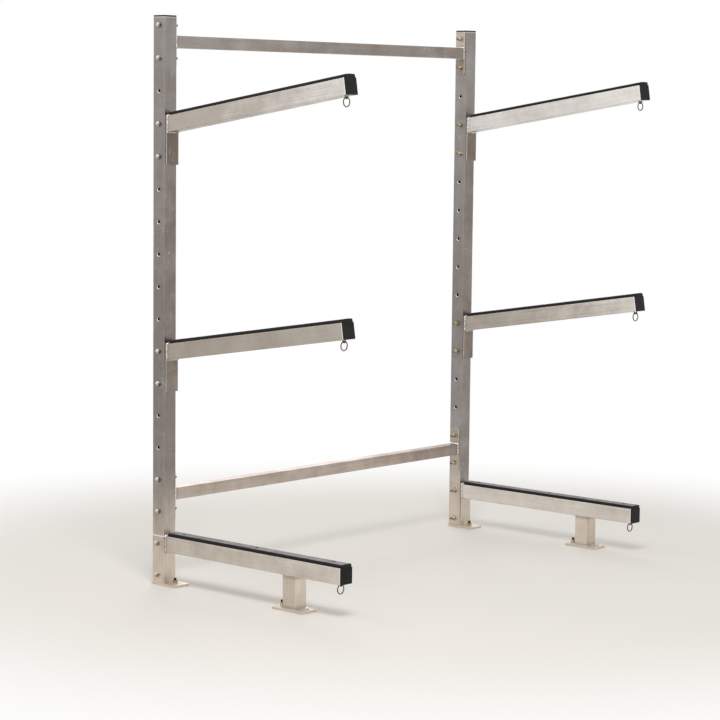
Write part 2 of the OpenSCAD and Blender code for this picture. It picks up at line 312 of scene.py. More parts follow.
def add(tree: Tree, kind: str, wires: dict | None = None, **settings) -> Node:
    """Adds a node, with its settings and its inputs.

    Inputs that share a name go by number. Math has its values at 0, 1 and 2. Map Range
    has its value at 0, the range that it reads at 1 and 2, and the range that it gives
    at 3 and 4. A colour Mix has its share at 0 and its colours at UNDER and OVER.

    Args:
        tree: The material's node tree.
        kind: The node's type.
        wires: Input names or numbers, each with a value or with the socket to link.
        settings: The node's own properties.

    Returns:
        The node.
    """
    node = tree.nodes.new(kind)
    for key, value in settings.items():
        setattr(node, key, value)
    connect(tree, node, wires or {})
    return node


def connect(tree: Tree, node: Node, wires: dict) -> None:
    """Gives inputs of a node their values, or links them.

    Args:
        tree: The material's node tree.
        node: The node.
        wires: Input names or numbers, each with a value or with the socket to link.
    """
    for key, value in wires.items():
        if isinstance(value, Socket):
            tree.links.new(value, node.inputs[key])
        else:
            node.inputs[key].default_value = value


def painted(tree: Tree, colour: Socket | tuple, coats: list[tuple[Socket, Socket | tuple]]) -> Socket:
    """Lays coats of colour over a first one, each where its mask is 1.

    Args:
        tree: The material's node tree.
        colour: The first colour.
        coats: For each coat, from the lowest, its mask and its colour.

    Returns:
        The colour on top.
    """
    for mask, coat in coats:
        colour = add(tree, "ShaderNodeMix", {0: mask, UNDER: colour, OVER: coat},
                     data_type="RGBA").outputs[2]
    return colour


def blank_material(name: str) -> tuple[Material, Tree, Node]:
    """Makes a material with a Principled shader alone.

    Args:
        name: The material's name.

    Returns:
        The material, its node tree and the shader.
    """
    material = bpy.data.materials.new(name)
    material.use_nodes = True
    tree = material.node_tree
    tree.nodes.clear()
    shader = add(tree, "ShaderNodeBsdfPrincipled")
    add(tree, "ShaderNodeOutputMaterial", {"Surface": shader.outputs[0]})
    return material, tree, shader


@dataclass(frozen=True)
class MillAluminium:
    """Extruded 6061 aluminium with its mill finish, left out in the weather.

    The die leaves fine lines along the tube, and weather dulls the metal in soft clouds.
    Edges and cut ends are rubbed bright, and the edges carry a painted highlight as well; welding
    heat leaves a sooty band beside each bead, and the water that splashes up from below dries to a
    pale bloom on the lowest part, which also paints the light thrown up from below.
    """

    name: str
    # The metal's shades at a dark, a middle and a light tone
    dark: str
    middle: str
    light: str
    # The direction of the grain, and its upward tilt in radians
    grain: Grain
    tilt: float = 0.0
    roughness: float = 0.42
    # Share of the small spots in the tone
    mottle: float = 0.15
    # Distance from the start of a cloud's pattern, so that no two finishes match
    shift: float = 0.0
    # Places along the grain where a weld crosses, in metres
    welds: tuple[float, ...] = ()
    # Where along the grain the metal is darkest and lightest, and by how much
    fade: tuple[float, float, float] = (0.0, 1.0, 0.0)
    # The shades of the bloom low down, which also paints the light thrown up from below, where the metal
    # under it is dark and where it is light
    bloom: tuple[str, str] = ("#c0b2a3", "#e2d7ca")
    # Directions of the faces that a saw or shear left bare, and how bright they still are
    bare: tuple[Way, ...] = ()
    bare_share: float = 0.85
    # Place of a sawn end along the levelled grain
    sawn: float | None = None
    # Centre of the lowest drilled hole of the right post, where the piece has a row of them
    drilled: Vector | None = None
    # Painted light and shade on faces of one direction: that direction, two heights, the change of tone at
    # each
    faces: tuple[tuple[Way, float, float, float, float], ...] = ()
    # How much lower the bloom ends on faces towards -Y
    sheltered: float = 0.0
    # How bright the filed strip at a sawn end still is
    filed_share: float = 0.9

    # Die lines are drawn 3 mm wide and 250 mm long: real ones are too fine to show
    LINE_ACROSS = 1 / (3.0 * MM)
    LINE_ALONG = 1 / (250 * MM)
    # Clouds of dull oxide about 90 mm across, and spots of about 6 mm
    CLOUD = 1 / (90 * MM)
    SPOT = 1 / (6 * MM)
    # Shares of the clouds and the die lines in the tone, and what their sum starts from
    CLOUD_SHARE = 0.7
    LINE_SHARE = 0.45
    TONE_START = -0.15
    # Tones at which the dark, the middle and the light shade lie
    DARK_AT = 0.1
    MIDDLE_AT = 0.5
    LIGHT_AT = 0.9
    # How much rougher the metal is in its clouds, and how much smoother between them
    ROUGHER = 0.10
    SMOOTHER = 0.08
    # Scratches wander over about 40 mm, and run four times as far along the grain
    SCRATCH = 1 / (40 * MM)
    SCRATCH_STRETCH = 0.25
    # Half-width of the sooty band beside a weld bead, and how much rougher soot is
    SOOT = 16 * MM
    SOOT_ROUGHNESS = 0.22
    # Rubbed edges, which also carry a painted highlight, are drawn 1.8 mm wide: real ones are under 1 mm
    EDGE = 1.8 * MM
    # Length of the filed strip at a sawn end
    FILED = 3.5 * MM
    # Heights between which the bloom, with the light from below that it paints, fades out, and how far the
    # tone moves that edge
    SPLASH = (-0.04, 0.34)
    SPLASH_SWAY = 0.12
    HOLE_R = 5.55 * MM
    # Width of the bright burr round a hole, and how far its ring is set down and back, which paints a
    # highlight on that side
    BURR = 1.7 * MM
    BURR_SIDE = 1.0 * MM
    # Radius of the dark ring round a bolt's head, of dirt and painted contact shade, and the width over which
    # it fades
    HEAD_R = 9.0 * MM
    HEAD_FADE = 3 * MM
    # The tube's inside begins this far from its axis
    BORE = 22.5 * MM
    # Shades that lie over the metal's own: scratches, rubbed edges with a painted highlight, soot, cut faces,
    # filed ends, burrs with a painted highlight, and the painted shade inside a tube
    SCRATCHED = "#d9d5cf"
    RUBBED = "#e0dbd4"
    SOOTY = "#77726b"
    CUT = "#e6e1da"
    FILED_BRIGHT = "#f1eee9"
    BURRED = "#f4f1ec"
    DIRTY = "#1d1a18"

    def material(self) -> Material:
        """Builds the material.

        Returns:
            The material.
        """
        material, tree, shader = blank_material(self.name)
        place = add(tree, "ShaderNodeTexCoord").outputs["Object"]
        level = add(tree, "ShaderNodeMapping", {0: place, "Rotation": (self.tilt, 0, 0)}).outputs[0]
        own = add(tree, "ShaderNodeMapping", {0: level, "Location": (self.shift,) * 3}).outputs[0]
        lined = self._stretched(tree, own, self.LINE_ALONG, self.LINE_ACROSS)
        lines = add(tree, "ShaderNodeTexNoise", {0: lined, "Scale": 1.0, "Detail": 2.0}).outputs[0]
        clouds = add(tree, "ShaderNodeTexNoise",
                     {0: own, "Scale": self.CLOUD, "Detail": 5.0, "Roughness": 0.62}).outputs[0]
        spots = add(tree, "ShaderNodeTexNoise",
                    {0: own, "Scale": self.SPOT, "Detail": 4.0, "Roughness": 0.7}).outputs[0]
        tone = self._mottled(tree, clouds, lines, spots)
        tone = self._faded(tree, place, tone)
        tone = self._faced(tree, place, tone)

        scratches = self._scratches(tree, own, spots)
        smooth = add(tree, "ShaderNodeBevel", {"Radius": self.EDGE}, samples=4).outputs[0]
        rough = add(tree, "ShaderNodeMapRange",
                    {0: clouds, 1: 0.3, 2: 0.7, 3: self.roughness + self.ROUGHER,
                     4: self.roughness - self.SMOOTHER}).outputs[0]
        layers = [self._splash(tree, place, tone), (scratches, linear(self.SCRATCHED)),
                  (self._rubbed(tree, smooth, clouds), linear(self.RUBBED))]
        if self.welds:
            soot = self._soot(tree, place, spots)
            layers.append((soot, linear(self.SOOTY)))
            rough = add(tree, "ShaderNodeMath", {0: soot, 1: self.SOOT_ROUGHNESS, 2: rough},
                        operation="MULTIPLY_ADD").outputs[0]
        if self.bare:
            layers.append((self._cut_faces(tree), linear(self.CUT)))
        if self.sawn is not None:
            layers.append((self._filed(tree, level), linear(self.FILED_BRIGHT)))
        if self.drilled is not None:
            layers += self._drill_marks(tree, place, spots)
        colour = painted(tree, self._shaded(tree, tone), layers)

        height = add(tree, "ShaderNodeMath", {0: scratches, 1: -0.6, 2: lines},
                     operation="MULTIPLY_ADD").outputs[0]
        fine = add(tree, "ShaderNodeBump",
                   {"Height": height, "Strength": 0.35, "Distance": 0.1 * MM, "Normal": smooth})
        dents = add(tree, "ShaderNodeBump", {"Height": clouds, "Strength": 0.5, "Distance": 1.2 * MM,
                                             "Normal": fine.outputs[0]})
        connect(tree, shader, {"Base Color": colour, "Roughness": rough, "Metallic": 1.0,
                               "Normal": dents.outputs[0]})
        return material

    def _stretched(self, tree: Tree, own: Socket, along: float, across: float) -> Socket:
        """Coordinates with one scale along the grain and another across it.

        Args:
            tree: The node tree.
            own: The coordinates in line with the piece.
            along: The scale along the grain.
            across: The scale across it.

        Returns:
            The scaled coordinates.
        """
        scale = tuple(along if axis else across for axis in self.grain.value)
        return add(tree, "ShaderNodeMapping", {0: own, "Scale": scale}).outputs[0]

    def _mottled(self, tree: Tree, clouds: Socket, lines: Socket, spots: Socket) -> Socket:
        """The tone before weather and rubbing: a weighted sum of clouds, die lines and spots.

        Args:
            tree: The node tree.
            clouds: The noise of the oxide clouds.
            lines: The noise of the die lines.
            spots: The noise of the small spots.

        Returns:
            The tone, mostly between 0 and 1.
        """
        tone = self.TONE_START
        shares = ((clouds, self.CLOUD_SHARE), (lines, self.LINE_SHARE), (spots, self.mottle))
        for noise, share in shares:
            tone = add(tree, "ShaderNodeMath", {0: noise, 1: share, 2: tone},
                       operation="MULTIPLY_ADD").outputs[0]
        return tone

    def _shaded(self, tree: Tree, tone: Socket) -> Socket:
        """Turns the tone into a colour between the metal's three shades.

        Args:
            tree: The node tree.
            tone: The tone.

        Returns:
            The colour.
        """
        ramp = add(tree, "ShaderNodeValToRGB", {0: tone})
        first, last = ramp.color_ramp.elements
        first.position = self.DARK_AT
        first.color = linear(self.dark)
        last.position = self.LIGHT_AT
        last.color = linear(self.light)
        ramp.color_ramp.elements.new(self.MIDDLE_AT).color = linear(self.middle)
        return ramp.outputs[0]

    def _along(self, tree: Tree, place: Socket) -> Socket:
        """The coordinate along the grain."""
        return add(tree, "ShaderNodeSeparateXYZ", {0: place}).outputs[self.grain.value.index(1)]

    def _faded(self, tree: Tree, place: Socket, tone: Socket) -> Socket:
        """Adds the slow change of tone along the piece.

        Args:
            tree: The node tree.
            place: The object coordinates.
            tone: The tone so far.

        Returns:
            The tone with its fade.
        """
        start, end, amount = self.fade
        if amount == 0:
            return tone
        slope = add(tree, "ShaderNodeMapRange",
                    {0: self._along(tree, place), 1: start, 2: end, 3: -amount / 2, 4: amount / 2}).outputs[0]
        return add(tree, "ShaderNodeMath", {0: tone, 1: slope}, operation="ADD").outputs[0]

    def _facing(self, tree: Tree, way: Way) -> Socket:
        """A mask of the faces that look in one direction.

        Args:
            tree: The node tree.
            way: The direction.

        Returns:
            A mask from 0 to 1.
        """
        face = add(tree, "ShaderNodeNewGeometry").outputs["True Normal"]
        along = add(tree, "ShaderNodeVectorMath", {0: face, 1: way},
                    operation="DOT_PRODUCT").outputs["Value"]
        return add(tree, "ShaderNodeMapRange", {0: along, 1: 0.6, 2: 0.9}).outputs[0]

    def _faced(self, tree: Tree, place: Socket, tone: Socket) -> Socket:
        """Paints light and shade on the faces of one direction, as changes of tone with height.

        Args:
            tree: The node tree.
            place: The object coordinates.
            tone: The tone so far.

        Returns:
            The tone with these changes.
        """
        for way, low, high, start, end in self.faces:
            height = add(tree, "ShaderNodeSeparateXYZ", {0: place}).outputs[2]
            change = add(tree, "ShaderNodeMapRange",
                         {0: height, 1: low, 2: high, 3: start, 4: end}).outputs[0]
            tone = add(tree, "ShaderNodeMath", {0: change, 1: self._facing(tree, way), 2: tone},
                       operation="MULTIPLY_ADD").outputs[0]
        return tone

    def _splash(self, tree: Tree, place: Socket, tone: Socket) -> tuple[Socket, Socket]:
        """The pale bloom that fades out upwards, which also paints the light thrown up from below, with its
        edge moved by the metal's own tone.

        Args:
            tree: The node tree.
            place: The object coordinates.
            tone: The metal's tone.

        Returns:
            A mask from 0 to 1, and the bloom's colour.
        """
        height = add(tree, "ShaderNodeSeparateXYZ", {0: place}).outputs[2]
        height = add(tree, "ShaderNodeMath", {0: tone, 1: -self.SPLASH_SWAY, 2: height},
                     operation="MULTIPLY_ADD").outputs[0]
        if self.sheltered:
            height = add(tree, "ShaderNodeMath",
                         {0: self._facing(tree, FRONT), 1: self.sheltered, 2: height},
                         operation="MULTIPLY_ADD").outputs[0]
        low, high = self.SPLASH
        mask = add(tree, "ShaderNodeMapRange", {0: height, 1: low, 2: high, 3: 1.0, 4: 0.0},
                   interpolation_type="SMOOTHSTEP").outputs[0]
        share = add(tree, "ShaderNodeMapRange", {0: tone, 1: 0.2, 2: 0.8}).outputs[0]
        dark, light = (linear(code) for code in self.bloom)
        return mask, painted(tree, dark, [(share, light)])

    def _rubbed(self, tree: Tree, smooth: Socket, clouds: Socket) -> Socket:
        """Bright edges, part rubbed metal and part painted highlight, where the rounded normal leaves the
        face's own, broken up by the clouds.

        Args:
            tree: The node tree.
            smooth: The normal with its edges rounded.
            clouds: The noise of the oxide clouds.

        Returns:
            A mask from 0 to 1.
        """
        face = add(tree, "ShaderNodeNewGeometry").outputs["True Normal"]
        same = add(tree, "ShaderNodeVectorMath", {0: smooth, 1: face},
                   operation="DOT_PRODUCT").outputs["Value"]
        edge = add(tree, "ShaderNodeMapRange", {0: same, 1: 0.995, 2: 0.86, 3: 0.0, 4: 0.75}).outputs[0]
        kept = add(tree, "ShaderNodeMapRange", {0: clouds, 1: 0.35, 2: 0.6, 3: 0.55, 4: 1.0}).outputs[0]
        return add(tree, "ShaderNodeMath", {0: edge, 1: kept}, operation="MULTIPLY").outputs[0]

    def _scratches(self, tree: Tree, own: Socket, spots: Socket) -> Socket:
        """Thin bright scratches, where a slow noise passes through its middle value.

        Args:
            tree: The node tree.
            own: The coordinates in line with the piece.
            spots: A finer noise, which breaks the scratches up.

        Returns:
            A mask from 0 to 1.
        """
        drawn = self._stretched(tree, own, self.SCRATCH_STRETCH, 1.0)
        slow = add(tree, "ShaderNodeTexNoise", {0: drawn, "Scale": self.SCRATCH, "Detail": 1.0}).outputs[0]
        gap = add(tree, "ShaderNodeMath", {0: slow, 1: 0.5}, operation="SUBTRACT").outputs[0]
        gap = add(tree, "ShaderNodeMath", {0: gap}, operation="ABSOLUTE").outputs[0]
        line = add(tree, "ShaderNodeMapRange", {0: gap, 1: 0.0, 2: 0.006, 3: 0.5, 4: 0.0}).outputs[0]
        broken = add(tree, "ShaderNodeMapRange", {0: spots, 1: 0.5, 2: 0.6}).outputs[0]
        return add(tree, "ShaderNodeMath", {0: line, 1: broken}, operation="MULTIPLY").outputs[0]

    def _soot(self, tree: Tree, place: Socket, spots: Socket) -> Socket:
        """The dull band that welding heat leaves on both sides of a bead.

        Args:
            tree: The node tree.
            place: The object coordinates.
            spots: A noise that frays the band's edge.

        Returns:
            A mask from 0 to 1.
        """
        along = self._along(tree, place)
        near = None
        for weld in self.welds:
            gap = add(tree, "ShaderNodeMath", {0: along, 1: weld}, operation="SUBTRACT").outputs[0]
            gap = add(tree, "ShaderNodeMath", {0: gap}, operation="ABSOLUTE").outputs[0]
            if near is not None:
                gap = add(tree, "ShaderNodeMath", {0: gap, 1: near}, operation="MINIMUM").outputs[0]
            near = gap
        frayed = add(tree, "ShaderNodeMath", {0: spots, 1: 0.7 * self.SOOT, 2: near},
                     operation="MULTIPLY_ADD").outputs[0]
        return add(tree, "ShaderNodeMapRange",
                   {0: frayed, 1: 0.3 * self.SOOT, 2: 1.2 * self.SOOT, 3: 0.5, 4: 0.0}).outputs[0]

    def _cut_faces(self, tree: Tree) -> Socket:
        """The faces that a saw or shear left bare: those whose normal lies in a cut's direction.

        Args:
            tree: The node tree.

        Returns:
            A mask from 0 to 1.
        """
        face = add(tree, "ShaderNodeNewGeometry").outputs["True Normal"]
        nearest = 0.0
        for way in self.bare:
            along = add(tree, "ShaderNodeVectorMath", {0: face, 1: way},
                        operation="DOT_PRODUCT").outputs["Value"]
            nearest = add(tree, "ShaderNodeMath", {0: along, 1: nearest}, operation="MAXIMUM").outputs[0]
        return add(tree, "ShaderNodeMapRange",
                   {0: nearest, 1: 0.8, 2: 0.95, 3: 0.0, 4: self.bare_share}).outputs[0]

    def _filed(self, tree: Tree, level: Socket) -> Socket:
        """The strip beside a sawn end, filed bright.

        Args:
            tree: The node tree.
            level: The coordinates turned level, without the pattern's own shift.

        Returns:
            A mask from 0 to 1.
        """
        gap = add(tree, "ShaderNodeMath", {0: self._along(tree, level), 1: self.sawn},
                  operation="SUBTRACT").outputs[0]
        gap = add(tree, "ShaderNodeMath", {0: gap}, operation="ABSOLUTE").outputs[0]
        return add(tree, "ShaderNodeMapRange",
                   {0: gap, 1: 0.7 * self.FILED, 2: self.FILED, 3: self.filed_share, 4: 0.0}).outputs[0]

    def _drill_marks(self, tree: Tree, place: Socket, spots: Socket) -> list[tuple[Socket, tuple]]:
        """A dark ring of dirt and painted contact shade round a bolt's head, the bright burr of each hole,
        and the tube's inside, painted dark as shade.

        The burr's ring lies off the hole's centre, down and to the back, which paints a highlight on that
        side of each hole.

        Args:
            tree: The node tree.
            place: The object coordinates.
            spots: A noise that breaks the marks up.

        Returns:
            The masks with their colours.
        """
        axes = add(tree, "ShaderNodeSeparateXYZ", {0: place})
        dx = add(tree, "ShaderNodeMath", {0: axes.outputs[0]}, operation="ABSOLUTE").outputs[0]
        dx = add(tree, "ShaderNodeMath", {0: dx, 1: self.drilled.x}, operation="SUBTRACT").outputs[0]
        dx = add(tree, "ShaderNodeMath", {0: dx}, operation="ABSOLUTE").outputs[0]
        reach = []
        for side in (0.0, self.BURR_SIDE):
            dy = add(tree, "ShaderNodeMath", {0: axes.outputs[1], 1: self.drilled.y + side},
                     operation="SUBTRACT").outputs[0]
            dz = add(tree, "ShaderNodeMath", {0: axes.outputs[2], 1: self.drilled.z - side},
                     operation="SUBTRACT").outputs[0]
            dz = add(tree, "ShaderNodeMath", {0: dz, 1: HOLE_PITCH / 2}, operation="PINGPONG").outputs[0]
            flat = add(tree, "ShaderNodeCombineXYZ", {0: dy, 1: dz}).outputs[0]
            reach.append(add(tree, "ShaderNodeVectorMath", {0: flat}, operation="LENGTH").outputs["Value"])
            if side == 0:
                off_axis = add(tree, "ShaderNodeMath", {0: dy}, operation="ABSOLUTE").outputs[0]
        from_axis = add(tree, "ShaderNodeMath", {0: dx, 1: off_axis}, operation="MAXIMUM").outputs[0]
        ring, burr_and_highlight, inside = (
            add(tree, "ShaderNodeMapRange", {0: far, 1: start, 2: end, 3: most, 4: 0.0}).outputs[0]
            for far, start, end, most in ((reach[0], self.HEAD_R, self.HEAD_R + self.HEAD_FADE, 1.0),
                                          (reach[1], self.HOLE_R + 0.2 * MM, self.HOLE_R + self.BURR, 1.0),
                                          (from_axis, self.BORE, self.BORE + 2 * MM, 0.92)))
        dirt_and_shade = add(tree, "ShaderNodeMath", {0: ring, 1: spots}, operation="MULTIPLY").outputs[0]
        return [(dirt_and_shade, linear(self.dark)), (burr_and_highlight, linear(self.BURRED)), (inside, linear(self.DIRTY))]


@dataclass(frozen=True)
class PlatedMetal:
    """Steel with a thin zinc coat, or bare stainless wire.

    Plating is bright in the hollows and dull where it is handled. Yellow chromate
    shifts between gold and a greenish tint in patches of a few millimetres.
    """

    name: str
    base: str
    tint: str
    roughness: float
    # Size of the patches of colour
    patch: float = 3 * MM
    # Painted shade on the lower front half of each head, on the side away from the light
    film: str | None = None
    # Centre of the lowest bolt of the right post, where there is a painted shade
    lowest: Vector | None = None
    # Shades of the greasy threads at the left and at the right post; the left one is darker, a painted shade
    greasy: tuple[str, str] | None = None

    # The plating's grit is drawn 0.7 mm wide: real grit is finer than the picture shows
    GRIT = 1 / (0.7 * MM)
    # How much smoother the metal is in the dips of that grit, and how much rougher on its crests
    SMOOTHER = 0.08
    ROUGHER = 0.12
    # Threads nearer to the rack's middle than this are greasy, and the grease ends over this width
    GREASE_FROM = 0.722
    GREASE_FADE = 6 * MM
    # Direction across the bolt from which light falls on a head; the painted shade lies on the other side
    RAIN = (0.0, 0.5, 0.85)
    # Places along that direction, from the bolt's axis, between which the painted shade ends
    FILM_EDGE = (-0.5 * MM, 2.0 * MM)

    def material(self) -> Material:
        """Builds the material.

        Returns:
            The material.
        """
        material, tree, shader = blank_material(self.name)
        place = add(tree, "ShaderNodeTexCoord").outputs["Object"]
        patches = add(tree, "ShaderNodeTexNoise",
                      {0: place, "Scale": 1 / self.patch, "Detail": 3.0}).outputs[0]
        grit = add(tree, "ShaderNodeTexNoise", {0: place, "Scale": self.GRIT, "Detail": 2.0}).outputs[0]
        tinted = add(tree, "ShaderNodeMapRange", {0: patches, 1: 0.35, 2: 0.65}).outputs[0]
        layers = [(tinted, linear(self.tint))]
        if self.film:
            layers.append((self._unwashed(tree, place), linear(self.film)))
        if self.greasy:
            layers.append(self._greased(tree, place))
        rough = add(tree, "ShaderNodeMapRange",
                    {0: grit, 1: 0.3, 2: 0.7, 3: self.roughness - self.SMOOTHER,
                     4: self.roughness + self.ROUGHER}).outputs[0]
        bump = add(tree, "ShaderNodeBump", {"Height": grit, "Strength": 0.3, "Distance": 0.05 * MM})
        connect(tree, shader, {"Base Color": painted(tree, linear(self.base), layers),
                               "Roughness": rough, "Metallic": 1.0, "Normal": bump.outputs[0]})
        return material

    def _greased(self, tree: Tree, place: Socket) -> tuple[Socket, Socket]:
        """The grease on the threads, with a shade for each post; the left post's is darker, a painted shade.

        Args:
            tree: The node tree.
            place: The object coordinates.

        Returns:
            A mask from 0 to 1, and the grease's colour.
        """
        along = add(tree, "ShaderNodeSeparateXYZ", {0: place}).outputs[0]
        side = add(tree, "ShaderNodeMapRange", {0: along, 1: -0.5, 2: 0.5}).outputs[0]
        left, right = (linear(code) for code in self.greasy)
        away = add(tree, "ShaderNodeMath", {0: along}, operation="ABSOLUTE").outputs[0]
        mask = add(tree, "ShaderNodeMapRange",
                   {0: away, 1: self.GREASE_FROM - self.GREASE_FADE, 2: self.GREASE_FROM,
                    3: 1.0, 4: 0.0}).outputs[0]
        return mask, painted(tree, left, [(side, right)])

    def _unwashed(self, tree: Tree, place: Socket) -> Socket:
        """The half of each head that lies away from the light, which gets a painted shade, seen from the
        bolt's own axis.

        Args:
            tree: The node tree.
            place: The object coordinates.

        Returns:
            A mask from 0 to 1.
        """
        off = add(tree, "ShaderNodeVectorMath", {0: place, 1: self.lowest},
                  operation="SUBTRACT").outputs["Vector"]
        axes = add(tree, "ShaderNodeSeparateXYZ", {0: off})
        z = add(tree, "ShaderNodeMath", {0: axes.outputs[2], 1: HOLE_PITCH / 2, 2: -HOLE_PITCH / 2},
                operation="WRAP").outputs[0]
        across = add(tree, "ShaderNodeCombineXYZ", {1: axes.outputs[1], 2: z}).outputs[0]
        up = add(tree, "ShaderNodeVectorMath", {0: across, 1: self.RAIN},
                 operation="DOT_PRODUCT").outputs["Value"]
        low, high = self.FILM_EDGE
        return add(tree, "ShaderNodeMapRange", {0: up, 1: low, 2: high, 3: 1.0, 4: 0.0}).outputs[0]


@dataclass(frozen=True)
class Moulded:
    """Black EPDM rubber or moulded polyethylene.

    Both are nearly black and dull, with a fine skin from the die or the mould. Faces that
    look up are greyed by dust and by a painted sheen.
    """

    name: str
    base: str
    worn: str
    # Colour of the faces that look up, dust and a painted sheen together, and its share
    dust: str
    dust_share: float
    roughness: float
    ior: float
    # Share of the usual gloss at a steep view
    gloss: float
    # Size of the mould's grain
    grain: float

    # Wear comes in clouds about 35 mm across
    WEAR = 1 / (35 * MM)
    # How much smoother the skin is where it is whole, and how much rougher where it is worn
    SMOOTHER = 0.06
    ROUGHER = 0.08
    # The shader's usual gloss at a steep view
    USUAL_GLOSS = 0.5

    def material(self) -> Material:
        """Builds the material.

        Returns:
            The material.
        """
        material, tree, shader = blank_material(self.name)
        place = add(tree, "ShaderNodeTexCoord").outputs["Object"]
        grain = add(tree, "ShaderNodeTexNoise",
                    {0: place, "Scale": 1 / self.grain, "Detail": 2.0}).outputs[0]
        wear = add(tree, "ShaderNodeTexNoise",
                   {0: place, "Scale": self.WEAR, "Detail": 6.0, "Roughness": 0.65}).outputs[0]
        worn = add(tree, "ShaderNodeMapRange", {0: wear, 1: 0.42, 2: 0.68}).outputs[0]
        normal = add(tree, "ShaderNodeNewGeometry").outputs["Normal"]
        up = add(tree, "ShaderNodeSeparateXYZ", {0: normal}).outputs[2]
        up = add(tree, "ShaderNodeMapRange",
                 {0: up, 1: 0.86, 2: 0.97, 3: 0.0, 4: self.dust_share}).outputs[0]
        patchy = add(tree, "ShaderNodeMapRange", {0: wear, 1: 0.3, 2: 0.6, 3: 0.35, 4: 1.0}).outputs[0]
        dust_and_sheen_mask = add(tree, "ShaderNodeMath", {0: up, 1: patchy}, operation="MULTIPLY").outputs[0]
        colour = painted(tree, linear(self.base), [(worn, linear(self.worn)), (dust_and_sheen_mask, linear(self.dust))])
        rough = add(tree, "ShaderNodeMapRange",
                    {0: wear, 1: 0.3, 2: 0.7, 3: self.roughness - self.SMOOTHER,
                     4: self.roughness + self.ROUGHER}).outputs[0]
        bump = add(tree, "ShaderNodeBump", {"Height": grain, "Strength": 0.45, "Distance": 0.12 * MM})
        connect(tree, shader, {"Base Color": colour, "Roughness": rough, "Normal": bump.outputs[0],
                               "IOR": self.ior, "Specular IOR Level": self.USUAL_GLOSS * self.gloss})
        return material


@dataclass(frozen=True)
class WeldMetal:
    """An aluminium bead laid by hand.

    It is brighter than the tube and sooty in its dips, and its faces that look up get their own shade, a
    painted highlight on the beads of arms and bars.
    """

    name: str = "weld_metal"
    bright: str = "#dedad4"
    sooty: str = "#918b84"
    # Shade of the faces that look up, lighter than the bead on arms and bars as a painted highlight
    washed: str = "#f6f3ef"

    # Soot lies in patches about 5 mm across
    PATCH = 1 / (5 * MM)

    def material(self) -> Material:
        """Builds the material.

        Returns:
            The material.
        """
        material, tree, shader = blank_material(self.name)
        place = add(tree, "ShaderNodeTexCoord").outputs["Object"]
        soot = add(tree, "ShaderNodeTexNoise", {0: place, "Scale": self.PATCH, "Detail": 5.0}).outputs[0]
        dips = add(tree, "ShaderNodeMapRange", {0: soot, 1: 0.42, 2: 0.62}).outputs[0]
        normal = add(tree, "ShaderNodeNewGeometry").outputs["Normal"]
        up = add(tree, "ShaderNodeSeparateXYZ", {0: normal}).outputs[2]
        facing_up = add(tree, "ShaderNodeMapRange", {0: up, 1: 0.1, 2: 0.5}).outputs[0]
        layers = [(dips, linear(self.sooty)), (facing_up, linear(self.washed))]
        rough = add(tree, "ShaderNodeMapRange", {0: soot, 1: 0.35, 2: 0.65, 3: 0.28, 4: 0.5}).outputs[0]
        connect(tree, shader, {"Base Color": painted(tree, linear(self.bright), layers),
                               "Roughness": rough, "Metallic": 1.0})
        return material


# Hardware

# Points round a turned piece: a multiple of 6, so that a hexagon's corners are points
TURN_POINTS = 48
# Points round a bent wire
WIRE_POINTS = 18
# Height of the turned-down corners of a head or a nut
CHAMFER = 0.9 * MM
# Depth of a thread's groove
GROOVE = 0.75 * MM
# Radius of a washer face, as a share of the width across the flats
WASHER_FACE = 0.47
# Radius of the small flat that closes a turned end
POINT_R = 0.2 * MM


def hexagon(across: float) -> np.ndarray:
    """The radius of a hexagon round a turn, (w / 2) / cos(a mod 60 - 30), from its width w."""
    angle = np.linspace(0, FULL_TURN, TURN_POINTS, endpoint=False)
    return across / 2 / np.cos(np.mod(angle, math.pi / 3) - math.pi / 6)


def chamfered_hexagon(across: float, low: float, high: float, chamfer: float,
                      steps: int = 5) -> tuple[np.ndarray, np.ndarray]:
    """Loops of a hexagonal prism whose upper corners are turned down by a cone.

    The radius is the lesser of the hexagon's and the cone's, w / 2 - 0.1 mm + (top - z)
    times the cone's slope.

    Args:
        across: The width across the flats.
        low: The height of the prism's foot.
        high: The height of its top.
        chamfer: The height of the turned part.
        steps: The loops over the turned part.

    Returns:
        The loops' heights and radii.
    """
    heights = np.concatenate([[low], np.linspace(high - chamfer, high, steps)])
    slope = (1 / math.cos(math.pi / 6) - 1) * across / 2 / (0.8 * chamfer)
    cone = across / 2 - 0.1 * MM + (high - heights) * slope
    return heights, np.minimum(hexagon(across)[None], cone[:, None])


def thread(length: float, radius: float, pitch: float, depth: float,
           steps: int = 6) -> tuple[np.ndarray, np.ndarray]:
    """Loops of a screw thread that starts at z = 0 and runs down.

    The radius falls from the crest by the depth times a triangle wave of z / pitch plus
    the turn, so the groove is a helix.

    Args:
        length: The threaded length.
        radius: The radius of the crests.
        pitch: The distance between crests.
        depth: The depth of the groove.
        steps: The loops in one pitch.

    Returns:
        The loops' heights and radii.
    """
    heights = -np.linspace(0, length, max(int(length / pitch * steps), 2))
    turn = np.linspace(0, 1, TURN_POINTS, endpoint=False)
    phase = np.mod(heights[:, None] / pitch + turn[None], 1)
    wave = np.abs(2 * phase - 1)
    fade = ease(-heights / pitch)[:, None] * ease((length + heights) / pitch)[:, None]
    tip = 1 - 0.16 * ease((-heights - length) / pitch + 1)[:, None]
    return heights, (radius - depth * wave * fade) * tip


